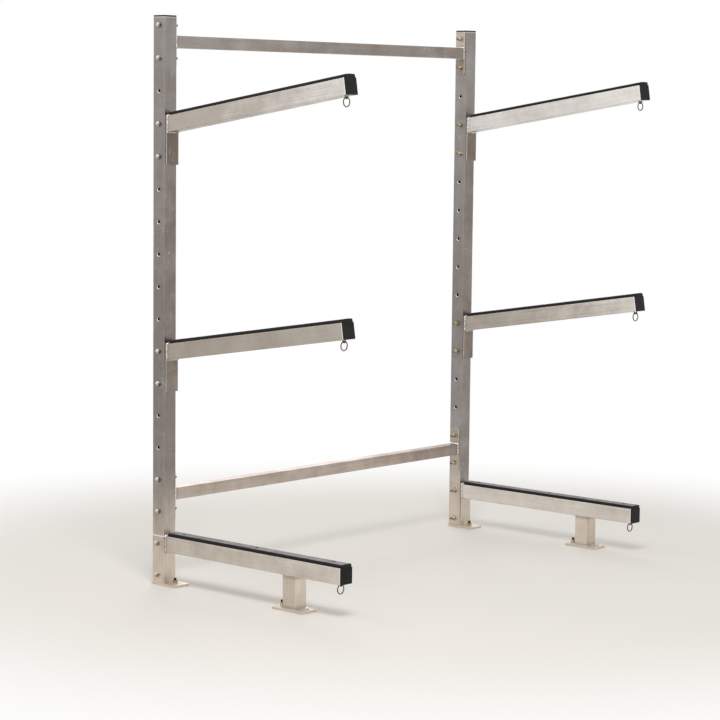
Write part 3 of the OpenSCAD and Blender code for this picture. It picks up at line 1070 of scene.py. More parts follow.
@dataclass(frozen=True)
class HexBolt:
    """A 3/8 inch hexagon bolt. Its head stands on z = 0 and its shank runs down."""

    across: float = 14.3 * MM
    head: float = 6.0 * MM
    radius: float = 4.75 * MM
    length: float = 76.2 * MM
    threaded: float = 22.0 * MM
    pitch: float = 1.5875 * MM
    washer_face: float = 0.4 * MM

    # Depth of the dish in the head's top, and the radii of its floor and its rim
    DISH = 0.25 * MM
    DISH_R = (3.6 * MM, 4.4 * MM)

    def shell(self) -> Shell:
        """The bolt as one turned surface.

        Its profile runs over the dished top, the hexagon, its washer face, the shank and
        the thread.

        Returns:
            The bolt's surface.
        """
        round_ = np.ones(TURN_POINTS)
        zs, rs = chamfered_hexagon(self.across, self.washer_face, self.head, CHAMFER)
        top_z = np.array([self.head - self.DISH, self.head - self.DISH, self.head])
        top_r = np.array([POINT_R, *self.DISH_R])[:, None] * round_
        face = WASHER_FACE * self.across
        neck_z = np.array([self.washer_face, 0.0, 0.0, self.threaded - self.length])
        neck_r = np.array([face, face, self.radius, self.radius])[:, None] * round_
        thread_z, thread_r = thread(self.threaded, self.radius, self.pitch, GROOVE)
        thread_z = thread_z[1:] + self.threaded - self.length
        heights = np.concatenate([top_z, zs[::-1], neck_z, thread_z, [-self.length]])
        radii = [top_r, rs[::-1], neck_r, thread_r[1:], POINT_R * round_[None]]
        return turned(heights, np.concatenate(radii))


@dataclass(frozen=True)
class LockNut:
    """A hexagon nut standing on z = 0, with the round collar of a lock nut or without."""

    across: float = 14.3 * MM
    height: float = 8.0 * MM
    collar: float = 3.0 * MM
    bore: float = 4.78 * MM

    # Height of the washer face, and how far the bore opens at its ends
    FACE = 0.35 * MM
    LEAD = 0.5 * MM
    # Radius of the collar, as a share of the width across the flats
    COLLAR_R = 0.44
    # The collar's rolled rim: how far each loop lies under the top and inside the wall
    RIM = ((0.7 * MM, 0.0), (0.2 * MM, 0.15 * MM), (0.0, 0.4 * MM), (0.1 * MM, 0.7 * MM),
           (0.9 * MM, 0.8 * MM))
    # How far the nylon ring lies under the rim, how tall it is and how thick the wall round it
    SUNK = 0.5 * MM
    NYLON = 1.5 * MM
    WALL = 0.75 * MM

    def shell(self) -> Shell:
        """The nut as one closed profile: washer face, hexagon, collar or top, and the bore.

        Returns:
            The nut's surface.
        """
        round_ = np.ones(TURN_POINTS)
        zs, rs = chamfered_hexagon(self.across, self.FACE, self.height, CHAMFER)
        foot_z, foot_r = [0.0, 0.0], [self.bore + self.LEAD, WASHER_FACE * self.across]
        over_z, over_r = [self.height], [self.bore + self.LEAD]
        if self.collar > 0:
            wall, top = self.COLLAR_R * self.across, self.height + self.collar
            over_z = [self.height + 0.02 * MM, *(top - under for under, _ in self.RIM)]
            over_r = [wall, *(wall - inside for _, inside in self.RIM)]
        in_z, in_r = [over_z[-1] - 0.2 * MM, self.LEAD], [self.bore, self.bore]
        heights = np.concatenate([foot_z, zs, over_z, in_z])
        rings = [np.array(foot_r)[:, None] * round_, rs, np.array(over_r + in_r)[:, None] * round_]
        return turned(heights, np.concatenate(rings), closed=True)

    def insert(self) -> Shell:
        """The nylon ring in the collar, which stands a little under its rim.

        Returns:
            The ring's surface.
        """
        top = self.height + self.collar - self.SUNK
        wall = self.COLLAR_R * self.across - self.WALL
        heights = np.array([top - self.NYLON, top - self.NYLON, top - 0.1 * MM, top, top - 0.1 * MM])
        radii = np.array([self.bore, wall, wall, self.bore + 0.4 * MM, self.bore])
        return turned(heights, radii[:, None] * np.ones(TURN_POINTS), closed=True)


@dataclass(frozen=True)
class PanScrew:
    """A pad screw whose head stands on z = 0, with a cross recess in its dome."""

    head_r: float = 4.2 * MM
    head: float = 2.6 * MM
    radius: float = 2.05 * MM
    length: float = 14.6 * MM
    slot: float = 0.75 * MM
    slot_reach: float = 2.6 * MM
    recess: float = 1.5 * MM

    # Widths over which the recess slopes at its sides and at the ends of its arms
    SIDE_SLOPE = 0.4 * MM
    END_SLOPE = 0.7 * MM

    def shell(self) -> Shell:
        """The screw as one surface: its dome, then the side, the seat and the shank.

        The dome is z = h (0.45 + 0.55 (1 - (r / R)^2.6)), less a recess of two crossed
        slots that slope at their sides and ends.

        Returns:
            The screw's surface.
        """
        angle = np.linspace(0, FULL_TURN, TURN_POINTS, endpoint=False)
        r = np.linspace(0.1 * MM, self.head_r, 15)[:, None]
        x, y = r * np.cos(angle), r * np.sin(angle)
        dome = 0.45 * self.head + 0.55 * self.head * (1 - (r / self.head_r) ** 2.6)
        arm = ease((self.slot - np.minimum(np.abs(x), np.abs(y))) / self.SIDE_SLOPE)
        arm = arm * ease((self.slot_reach - r) / self.END_SLOPE)
        top = np.stack([x, y, dome - self.recess * arm], -1)
        low_r = np.array([self.head_r, self.radius, 0.9 * self.radius])[:, None]
        low_z = np.array([0.0, 0.0, -self.length])[:, None] * np.ones(TURN_POINTS)
        low = np.stack([low_r * np.cos(angle), low_r * np.sin(angle), low_z], -1)
        return loft(np.concatenate([top, low]))


@dataclass(frozen=True)
class Washer:
    """A flat washer standing on z = 0, with its edges slightly round."""

    inner: float = 5.2 * MM
    outer: float = 11.5 * MM
    thick: float = 2.0 * MM

    def shell(self) -> Shell:
        """The washer as one closed profile.

        Returns:
            The washer's surface.
        """
        soft = 0.35 * MM
        heights = np.array([0, 0, soft, self.thick - soft, self.thick, self.thick])
        radii = np.array([self.inner, self.outer - soft, self.outer, self.outer, self.outer - soft,
                          self.inner])
        return turned(heights, radii[:, None] * np.ones(TURN_POINTS), closed=True)


@dataclass(frozen=True)
class Bead:
    """A hand-laid weld bead: a round run with crescent ripples, a little uneven."""

    radius: float = 3.0 * MM
    pitch: float = 2.4 * MM
    ripple: float = 0.13
    wobble: float = 0.10
    step: float = 0.45 * MM
    sides: int = 12

    def shell(self, loop: np.ndarray, across: np.ndarray, phase: float) -> Shell:
        """Lays the bead along a closed loop.

        The radius is r (1 + w(s) + k c), where c = |cos(pi (s / pitch + 0.4 cos a))| gives
        the crescents and w(s) is a sum of three slow waves along the run s.

        Args:
            loop: The loop's corner points, as an array of points by 3.
            across: The normal of the loop's plane.
            phase: A number that makes each bead's unevenness its own.

        Returns:
            The bead's surface.
        """
        path = stepped(loop, self.step)
        run = np.arange(len(path)) / len(path)
        length = len(path) * self.step
        waves = sum(np.sin(FULL_TURN * n * run + phase * n) for n in (3, 7, 13)) / 3
        angle = np.linspace(0, FULL_TURN, self.sides, endpoint=False)
        count = round(length / self.pitch)
        crescent = np.abs(np.cos(math.pi * (run[:, None] * count + 0.4 * np.cos(angle)[None])))
        radius = self.radius * (1 - self.ripple + self.wobble * waves[:, None] + self.ripple * crescent)
        return piped(path, radius, across, closed=True)


def square_loop(centre: Vector, width: float, height: float, u: Way, v: Way,
                corner: float = 2 * MM) -> np.ndarray:
    """A rounded rectangle about a centre, in the plane of two unit vectors.

    Args:
        centre: Its centre.
        width: Its size along u.
        height: Its size along v.
        u: The first direction.
        v: The second direction.
        corner: The radius of its corners.

    Returns:
        Its points, as an array of points by 3.
    """
    flat = rounded_square(1.0, corner / min(width, height), 5) * (width, height)
    return np.array(centre) + flat[:, :1] * np.array(u) + flat[:, 1:] * np.array(v)


# Sub-assemblies


@dataclass(frozen=True)
class Finishes:
    """The rack's materials, by the record's slots."""

    posts: dict[Side, Material]
    bars: dict[str, Material]
    end_plates: dict[str, Material]
    brackets: dict[tuple[Level, Side], Material]
    arms: dict[tuple[Level, Side], Material]
    legs: dict[Side, Material]
    plate: Material
    weld: Material
    foot_weld: Material
    zinc: Material
    dull_zinc: Material
    weathered_zinc: Material
    pale_zinc: Material
    yellow_zinc: Material
    wire: Material
    screw: Material
    rubber: Material
    plastic: Material
    nylon: Material


def dress(node: str, material: Material) -> None:
    """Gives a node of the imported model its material.

    Args:
        node: The node's name.
        material: The material.
    """
    slots = frame["nodes"][node].data.materials
    slots.clear()
    slots.append(material)
    log.info("%s: %s", node, material.name)


@dataclass
class Posts:
    """The two drilled posts with their caps, foot plates and the welds between them."""

    finishes: Finishes
    bead_radius: float = 2.8 * MM

    def build(self) -> None:
        """Dresses the posts and adds caps and welds."""
        for side in Side:
            post, plate = f"{side.word}_post", f"{side.word}_foot_plate"
            dress(post, self.finishes.posts[side])
            dress(plate, self.finishes.plate)
            low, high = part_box(post)
            middle = (low + high) / 2
            cap = f"{side.word}_post_cap"
            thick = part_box(cap)[1].z - high.z
            at = Matrix.Translation((middle.x, middle.y, high.z))
            shell = cap_shell(high.x - low.x, thick).placed(at)
            make_piece(f"{side.word}_post_top_cap", [shell], self.finishes.plastic,
                       stands_for=(cap,))
            bead = Bead(radius=self.bead_radius)
            # The plate ends flush behind the post, so the bead's back run lies inside
            deep = high.y - low.y - 1.4 * bead.radius
            foot = Vector((middle.x, low.y + deep / 2, low.z))
            loop = square_loop(foot, high.x - low.x, deep, RIGHTWARD, BACK)
            make_piece(f"{side.word}_post_weld", [bead.shell(loop, np.array(UP), side.value)],
                       self.finishes.foot_weld)


def cap_shell(width: float, thick: float, corner: float = 1.6 * MM) -> Shell:
    """A moulded cap's head on z = 0: an upright edge, a soft shoulder, a slight crown and a gate mark.

    Loop i is the rounded square of side w - 2 d(i) at height z(i); the shoulder is a quarter
    circle of radius s, and the crown falls from the middle as 1 - (side / w)^2.

    Args:
        width: The cap's side.
        thick: The head's thickness.
        corner: The radius of its corners.

    Returns:
        The head's surface.
    """
    shoulder, crown, gate, dip = 0.8 * MM, 0.25 * MM, 1.6 * MM, 0.35 * MM
    turn = np.linspace(0, math.pi / 2, 6)
    edge_z = thick - crown - shoulder + shoulder * np.sin(turn)
    edge_d = shoulder - shoulder * np.cos(turn)
    sides = np.array([0.9, 0.75, 0.55, 0.35, 0.2]) * width
    face_z = thick - crown * (sides / width) ** 2
    gate_sides = np.array([2 * gate, 1.7 * gate, 0.3 * gate])
    gate_z = thick - np.array([0.02 * MM, dip, dip])
    widths = np.concatenate([[width, width], width - 2 * edge_d, sides, gate_sides])
    heights = np.concatenate([[0, 0.3 * MM], edge_z, face_z, gate_z])
    # The loops of the gate mark are nearly round
    corners = [min(corner, 0.32 * w) if w > 0.3 * width else 0.49 * w for w in widths]
    flats = np.array([rounded_square(w, r) for w, r in zip(widths, corners)])
    z = np.broadcast_to(heights[:, None, None], (*flats.shape[:2], 1))
    return loft(np.concatenate([flats, z], -1))


@dataclass
class Crossbars:
    """The two crossbars with their end plates and the welds between them."""

    finishes: Finishes
    # Depth of a bead's middle where the bar and its plate share a side
    flush: float = 2.6 * MM
    bead_radius: float = 4.2 * MM

    def build(self) -> None:
        """Dresses the bars and adds a bead round each end."""
        for word in ("upper", "lower"):
            bar, plates = f"{word}_crossbar", f"{word}_bar_plates"
            dress(bar, self.finishes.bars[word])
            dress(plates, self.finishes.end_plates[word])
            low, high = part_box(bar)
            beads = []
            for end, x in enumerate((low.x, high.x)):
                centre = Vector((x, (low.y + high.y) / 2, (low.z + high.z) / 2))
                loop = square_loop(centre, high.y - low.y - 2 * self.flush, high.z - low.z, BACK, UP)
                bead = Bead(radius=self.bead_radius)
                beads.append(bead.shell(loop, np.array(RIGHTWARD), 1.7 * end + low.z))
            make_piece(f"{word}_bar_welds", beads, self.finishes.weld)


@dataclass
class Arm:
    """One arm: its tube, bracket, weld, pad and screws, cap, eye and ring."""

    side: Side
    level: Level
    finishes: Finishes

    # The bead round the root, how far its middle line stands off the bracket, and how far it is
    # sunk where arm and bracket are flush
    ROOT_BEAD = Bead(radius=3.8 * MM, pitch=3.2 * MM)
    ROOT_STAND = 1.2 * MM
    ROOT_FLUSH = 2.3 * MM
    PAD_SCREWS = 3
    PAD_SCREW_END = 51.0 * MM
    # The rubber swells a little over its stock size, and most in the middle
    PAD_SWELL = 0.8 * MM
    PAD_CROWN = 0.7 * MM
    # Radius of the long edges of the pad's top, and of its ends
    PAD_EDGE_R = 5.0 * MM
    PAD_END_R = 1.0 * MM
    # How far the pad's top sways along the arm, and how far it is lowered so that it stands no higher
    PAD_SWAY = 0.12 * MM
    PAD_SAG = 0.13 * MM
    PAD_RECESS = 4.0 * MM
    RECESS_R = 5.0 * MM
    EYE_BACK = 20.0 * MM
    EYE_LEG = 2.7 * MM
    EYE_BEND = 5.0 * MM
    EYE_WIRE = 2.0 * MM
    # The bead round each leg of the eye, and the radius of the circle that it follows
    EYE_BEAD = Bead(radius=1.1 * MM, pitch=1.6 * MM, step=0.35 * MM, sides=10)
    EYE_BEAD_R = 2.3 * MM
    RING_R = 13.75 * MM
    RING_WIRE = 1.75 * MM
    # The ring's butt weld: its place as a share of the turn, its half-width and its swelling
    SEAM_AT = 0.72
    SEAM_WIDTH = 1.6 * MM
    SEAM_SWELL = 0.09

    def __post_init__(self) -> None:
        """Reads the arm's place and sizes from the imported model."""
        self.word = f"{self.level.word}_{self.side.word}"
        low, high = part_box(f"{self.word}_arm")
        lowest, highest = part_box(f"lower_{self.side.word}_arm")
        bracket_low, bracket_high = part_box(f"{self.word}_bracket")
        self.width = high.x - low.x
        self.length = highest.y - lowest.y
        self.cap = lowest.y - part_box(f"lower_{self.side.word}_arm_cap")[0].y
        self.root = Vector(((low.x + high.x) / 2, bracket_low.y, bracket_high.z))
        self.seat = Matrix.Translation(self.root) @ Matrix.Rotation(-self.level.tilt, 4, "X")
        pad_low, pad_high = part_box(f"lower_{self.side.word}_pad")
        self.pad_width = pad_high.x - pad_low.x
        self.pad_thick = pad_high.z - pad_low.z
        self.pad_gap = highest.y - pad_high.y

    def build(self) -> None:
        """Builds and dresses all of the arm."""
        dress(f"{self.word}_arm", self.finishes.arms[self.level, self.side])
        dress(f"{self.word}_bracket", self.finishes.brackets[self.level, self.side])
        self._weld()
        self._pad()
        self._cap()
        self._eye()
        self._ring()

    def _weld(self) -> None:
        """Adds the bead between the tube's root and the bracket, all the way round.

        It lies in the corner above and under the tube, and is dressed nearly flush where the
        tube and the bracket share a side.
        """
        tall = self.width / math.cos(self.level.tilt)
        centre = self.root + Vector((0, -self.ROOT_STAND, -tall / 2))
        loop = square_loop(centre, self.width - 2 * self.ROOT_FLUSH, tall, RIGHTWARD, UP)
        shell = self.ROOT_BEAD.shell(loop, np.array(BACK), self.root.z + self.root.x)
        make_piece(f"{self.word}_root_weld", [shell], self.finishes.weld)

    def screw_places(self) -> np.ndarray:
        """The distances of the pad's screws from the bracket."""
        end = self.length + self.cap
        return np.linspace(self.pad_gap + self.PAD_SCREW_END, end - self.PAD_SCREW_END, self.PAD_SCREWS)

    def _pad(self) -> None:
        """Adds the rubber pad and its screws.

        The pad is its section carried along the arm. The section's ends draw in over a
        small radius, its top sways by a tenth of a millimetre, and round each screw the
        top drops by an even step into the screw's hole.
        """
        end = self.length + self.cap
        screws = self.screw_places()
        near = np.concatenate([s + np.linspace(-7, 7, 21) * MM for s in screws])
        ends = np.array([0, 0.1, 0.3, 0.6, 1.0]) * MM
        run = np.unique(np.concatenate([self.pad_gap + ends, np.linspace(self.pad_gap, end, 110), near,
                                        end - ends]))
        section = self._pad_section()
        short = self.PAD_END_R - np.minimum(run - self.pad_gap, end - run)
        short = np.clip(short, 0, self.PAD_END_R)
        drawn = self.PAD_END_R - np.sqrt(np.maximum(self.PAD_END_R**2 - short**2, 0))
        x = section[None, :, 0] * (1 - 2 * drawn[:, None] / self.pad_width)
        z = section[None, :, 1] * (1 - drawn[:, None] / self.pad_thick)
        waves = np.sin(run / 0.037 + self.root.z * 9) + np.sin(run / 0.011 + self.root.x * 5)
        sway = self.PAD_SWAY * waves / 2
        high = ease((section[:, 1] / self.pad_thick - 0.5) * 2)[None]
        reach = np.hypot(run[:, None, None] - screws, x[:, :, None]).min(2)
        hole = ease((self.RECESS_R + 0.4 * MM - reach) / (0.8 * MM))
        hole = hole * (section[None, :, 1] > 0.8 * self.pad_thick)
        z = z + high * (sway[:, None] - self.PAD_SAG)
        z = z + hole * (self.pad_thick - self.PAD_RECESS - z)
        y = np.broadcast_to(-run[:, None], x.shape)
        shell = loft(np.stack([x, y, z], -1)).placed(self.seat)
        pad = make_piece(f"{self.word}_rubber_pad", [shell], self.finishes.rubber,
                         stands_for=(f"{self.word}_pad",), crease=50)
        at = [self.seat @ Matrix.Translation((0, -s, self.pad_thick - self.PAD_RECESS)) for s in screws]
        self.screws = [PanScrew().shell().placed(m) for m in at]

    def _pad_section(self) -> np.ndarray:
        """The pad's section: a flat foot, upright sides and a slightly crowned top with round edges.

        The crown rises by c (1 - (x / h)^2), from the round edges at x = h to the middle.

        Returns:
            Its points (x, z), once round from the left foot.
        """
        half, thick, edge = self.pad_width / 2, self.pad_thick + self.PAD_SWELL, self.PAD_EDGE_R
        turn = np.linspace(0, math.pi / 2, 9)
        right = np.column_stack([half - edge + edge * np.cos(turn), thick - edge + edge * np.sin(turn)])
        top_x = np.linspace(half - edge, edge - half, 41)[1:-1]
        crown = self.PAD_CROWN * (1 - (top_x / (half - edge)) ** 2)
        top = np.column_stack([top_x, thick + crown])
        left = right[::-1] * (-1, 1)
        return np.concatenate([[[-half, 0], [half, 0]], right, top, left])

    def _cap(self) -> None:
        """Adds the moulded cap in the arm's end."""
        at = self.seat @ Matrix.Translation((0, -self.length, -self.width / 2))
        shell = cap_shell(self.width, self.cap)
        make_piece(f"{self.word}_end_cap", [shell.placed(at @ Matrix.Rotation(math.pi / 2, 4, "X"))],
                   self.finishes.plastic, stands_for=(f"{self.word}_arm_cap",))

    def _eye(self) -> None:
        """Adds the bent wire under the arm's tip, with a bead round each of its legs.

        The wire runs down one leg, round half a circle and up the other leg.
        """
        turn = np.linspace(0, math.pi, 25)
        bend = np.column_stack([0 * turn, self.EYE_BEND * np.cos(turn),
                                -self.EYE_LEG - self.EYE_BEND * np.sin(turn)])
        leg = np.array([[0, self.EYE_BEND, 1 * MM], [0, self.EYE_BEND, -0.5 * self.EYE_LEG]])
        path = np.concatenate([leg, bend, leg[::-1] * (1, -1, 1)])
        radius = np.full((len(path), WIRE_POINTS), self.EYE_WIRE)
        wire = piped(path, radius, np.array(RIGHTWARD), closed=False)
        at = self.seat @ Matrix.Translation((0, self.EYE_BACK - self.length, -self.width))
        circle = np.linspace(0, FULL_TURN, 40, endpoint=False)
        x, y = self.EYE_BEAD_R * np.cos(circle), self.EYE_BEAD_R * np.sin(circle)
        spots = []
        for sign in (-1, 1):
            loop = np.column_stack([x, sign * self.EYE_BEND + y, 0 * x])
            spots.append(self.EYE_BEAD.shell(loop, np.array(UP), self.root.z + sign).placed(at))
        make_piece(f"{self.word}_wire_eye", [wire.placed(at)], self.finishes.wire,
                   stands_for=(f"{self.word}_eye",))
        make_piece(f"{self.word}_eye_welds", spots, self.finishes.weld)

    def _ring(self) -> None:
        """Adds the hanging ring, a round wire with the swelling of its butt weld."""
        joint = next(j for j in frame["joints"] if j["name"] == f"{self.word}_ring_swing")
        pivot = np.array(joint["pos_m"])
        turn = np.linspace(0, FULL_TURN, 96, endpoint=False)
        path = pivot + np.column_stack([self.RING_R * np.sin(turn), 0 * turn,
                                        self.RING_R * (np.cos(turn) - 1)])
        seam = np.exp(-((turn - self.SEAM_AT * FULL_TURN) * self.RING_R / self.SEAM_WIDTH) ** 2)
        radius = self.RING_WIRE * (1 + self.SEAM_SWELL * seam[:, None]) * np.ones(WIRE_POINTS)
        shell = piped(path, radius, np.array(BACK), closed=True)
        make_piece(f"{self.word}_tie_ring", [shell], self.finishes.wire,
                   body=f"{self.word}_ring", stands_for=(f"{self.word}_ring",))


@dataclass
class Legs:
    """The two front legs with their plates, welds and anchors, and the anchors of the foot plates."""

    finishes: Finishes
    bead_radius: float = 2.8 * MM
    # How far a leg's upper bead is set in, where the leg and the arm share a side
    flush: float = 0.9 * MM
    # Height of the studs, and how far anchors stand in front of the post and from the leg's middle
    stud: float = 24.0 * MM
    foot_anchor: float = 26.0 * MM
    leg_anchor: float = 50.8 * MM
    anchor_nut: LockNut = field(default_factory=lambda: LockNut(collar=0.0, height=8.4 * MM))

    def build(self) -> None:
        """Dresses the legs and adds beads at both ends and the anchors."""
        for side in Side:
            leg, plate = f"{side.word}_leg", f"{side.word}_leg_plate"
            dress(leg, self.finishes.legs[side])
            dress(plate, self.finishes.plate)
            low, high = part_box(leg)
            middle = (low + high) / 2
            beads = []
            for z, inset, phase in ((low.z, 0.0, 0.4), (high.z, self.flush, 2.1)):
                centre = Vector((middle.x, middle.y, z))
                loop = square_loop(centre, high.x - low.x - 2 * inset, high.y - low.y, RIGHTWARD, BACK)
                bead = Bead(radius=self.bead_radius)
                beads.append(bead.shell(loop, np.array(UP), phase + side.value))
            make_piece(f"{side.word}_leg_welds", beads, self.finishes.foot_weld)
            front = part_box(f"{side.word}_post")[0].y
            studs = [(middle.x, middle.y + self.leg_anchor), (middle.x, front - self.foot_anchor)]
            self._anchors(side, studs, (middle.x, middle.y - self.leg_anchor), low.z)

    def _anchors(self, side: Side, studs: list[tuple[float, float]], bolt: tuple[float, float],
                 top: float) -> None:
        """Adds the anchors of one side: studs with nuts, and a low bolt in front of the leg.

        Args:
            side: The side of the rack.
            studs: The studs' places on the floor, the leg's first.
            bolt: The bolt's place on the floor.
            top: The height of the plates' upper face.
        """
        washer, nut = Washer(), self.anchor_nut
        heights, radii = thread(self.stud, HexBolt.radius, HexBolt.pitch, GROOVE)
        rod = turned(heights + self.stud, radii)
        washers, nuts, rods = [], [], []
        for k, (x, y) in enumerate(studs):
            spin = Matrix.Rotation(0.6 * k + 0.3 * side.value, 4, "Z")
            nuts.append(nut.shell().placed(Matrix.Translation((x, y, top + washer.thick)) @ spin))
            rods.append(rod.placed(Matrix.Translation((x, y, 0))))
        for x, y in (*studs, bolt):
            washers.append(washer.shell().placed(Matrix.Translation((x, y, top))))
        head = HexBolt(length=top + washer.thick, threaded=top)
        at = Matrix.Translation((*bolt, top + washer.thick)) @ Matrix.Rotation(0.4 * side.value, 4, "Z")
        make_piece(f"{side.word}_anchor_washers", washers, self.finishes.zinc)
        make_piece(f"{side.word}_leg_anchor_nut", nuts[:1], self.finishes.dull_zinc)
        make_piece(f"{side.word}_foot_anchor_nut", nuts[1:], self.finishes.yellow_zinc)
        make_piece(f"{side.word}_anchor_studs", rods, self.finishes.screw)
        make_piece(f"{side.word}_anchor_bolt", [head.shell().placed(at)], self.finishes.dull_zinc)


@dataclass
class Fasteners:
    """The through bolts of crossbars and arms, with their lock nuts."""

    finishes: Finishes
    bolt: HexBolt = field(default_factory=HexBolt)
    nut: LockNut = field(default_factory=LockNut)
    # The lower of the two holes that each crossbar takes, counted from the floor
    bar_holes: tuple[int, int] = (2, 16)

    def build(self) -> None:
        """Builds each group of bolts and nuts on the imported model's places."""
        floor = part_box("left_post")[0].z
        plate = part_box("upper_bar_plates")
        plate_thick = plate[1].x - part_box("upper_crossbar")[1].x
        low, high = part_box("left_post")
        angle_thick = low.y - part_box("upper_left_bracket")[0].y
        bars = [(side, hole + k, 0.0, plate_thick)
                for side in Side for hole in self.bar_holes for k in (0, 1)]
        self._group("crossbar", bars, floor, low, high)
        arms = []
        for side in Side:
            for level in Level:
                outer = level is Level.LOWER or side is Side.RIGHT
                stand = (angle_thick, 0.0) if outer else (0.0, angle_thick)
                arms += [(side, level.value + k, *stand) for k in (0, 1)]
        self._group("arm", arms, floor, low, high)

    def _group(self, word: str, places: list[tuple[Side, int, float, float]], floor: float,
               low: Vector, high: Vector) -> None:
        """Builds one group of bolts and its nuts.

        Args:
            word: The group's word in the names of its nodes.
            places: For each bolt its side, its hole, and what lies under its head and nut.
            floor: The height of the posts' feet.
            low: The lowest corner of the left post.
            high: The highest corner of the left post.
        """
        bolts, nuts, inserts = [], [], []
        reach = -(low.x + high.x) / 2
        half = (high.x - low.x) / 2
        y = (low.y + high.y) / 2
        for k, (side, hole, under_head, under_nut) in enumerate(places):
            z = floor + HOLE_END + hole * HOLE_PITCH
            spin = Matrix.Rotation(1.3 * k, 4, "Z")
            turn = Matrix.Rotation(side.value * math.pi / 2, 4, "Y")
            head = Matrix.Translation((side.value * (reach + half + under_head), y, z)) @ turn @ spin
            inner = Matrix.Translation((side.value * (reach - half - under_nut), y, z))
            inner = inner @ turn.inverted() @ spin
            bolts.append(self.bolt.shell().placed(head))
            nuts.append(self.nut.shell().placed(inner))
            inserts.append(self.nut.insert().placed(inner))
        make_piece(f"{word}_hex_bolts", bolts, self.finishes.weathered_zinc,
                   stands_for=(f"{word}_bolts",))
        make_piece(f"{word}_lock_nuts", nuts, self.finishes.pale_zinc,
                   stands_for=(f"{word}_nuts",))
        make_piece(f"{word}_nut_inserts", inserts, self.finishes.nylon)


# Studio


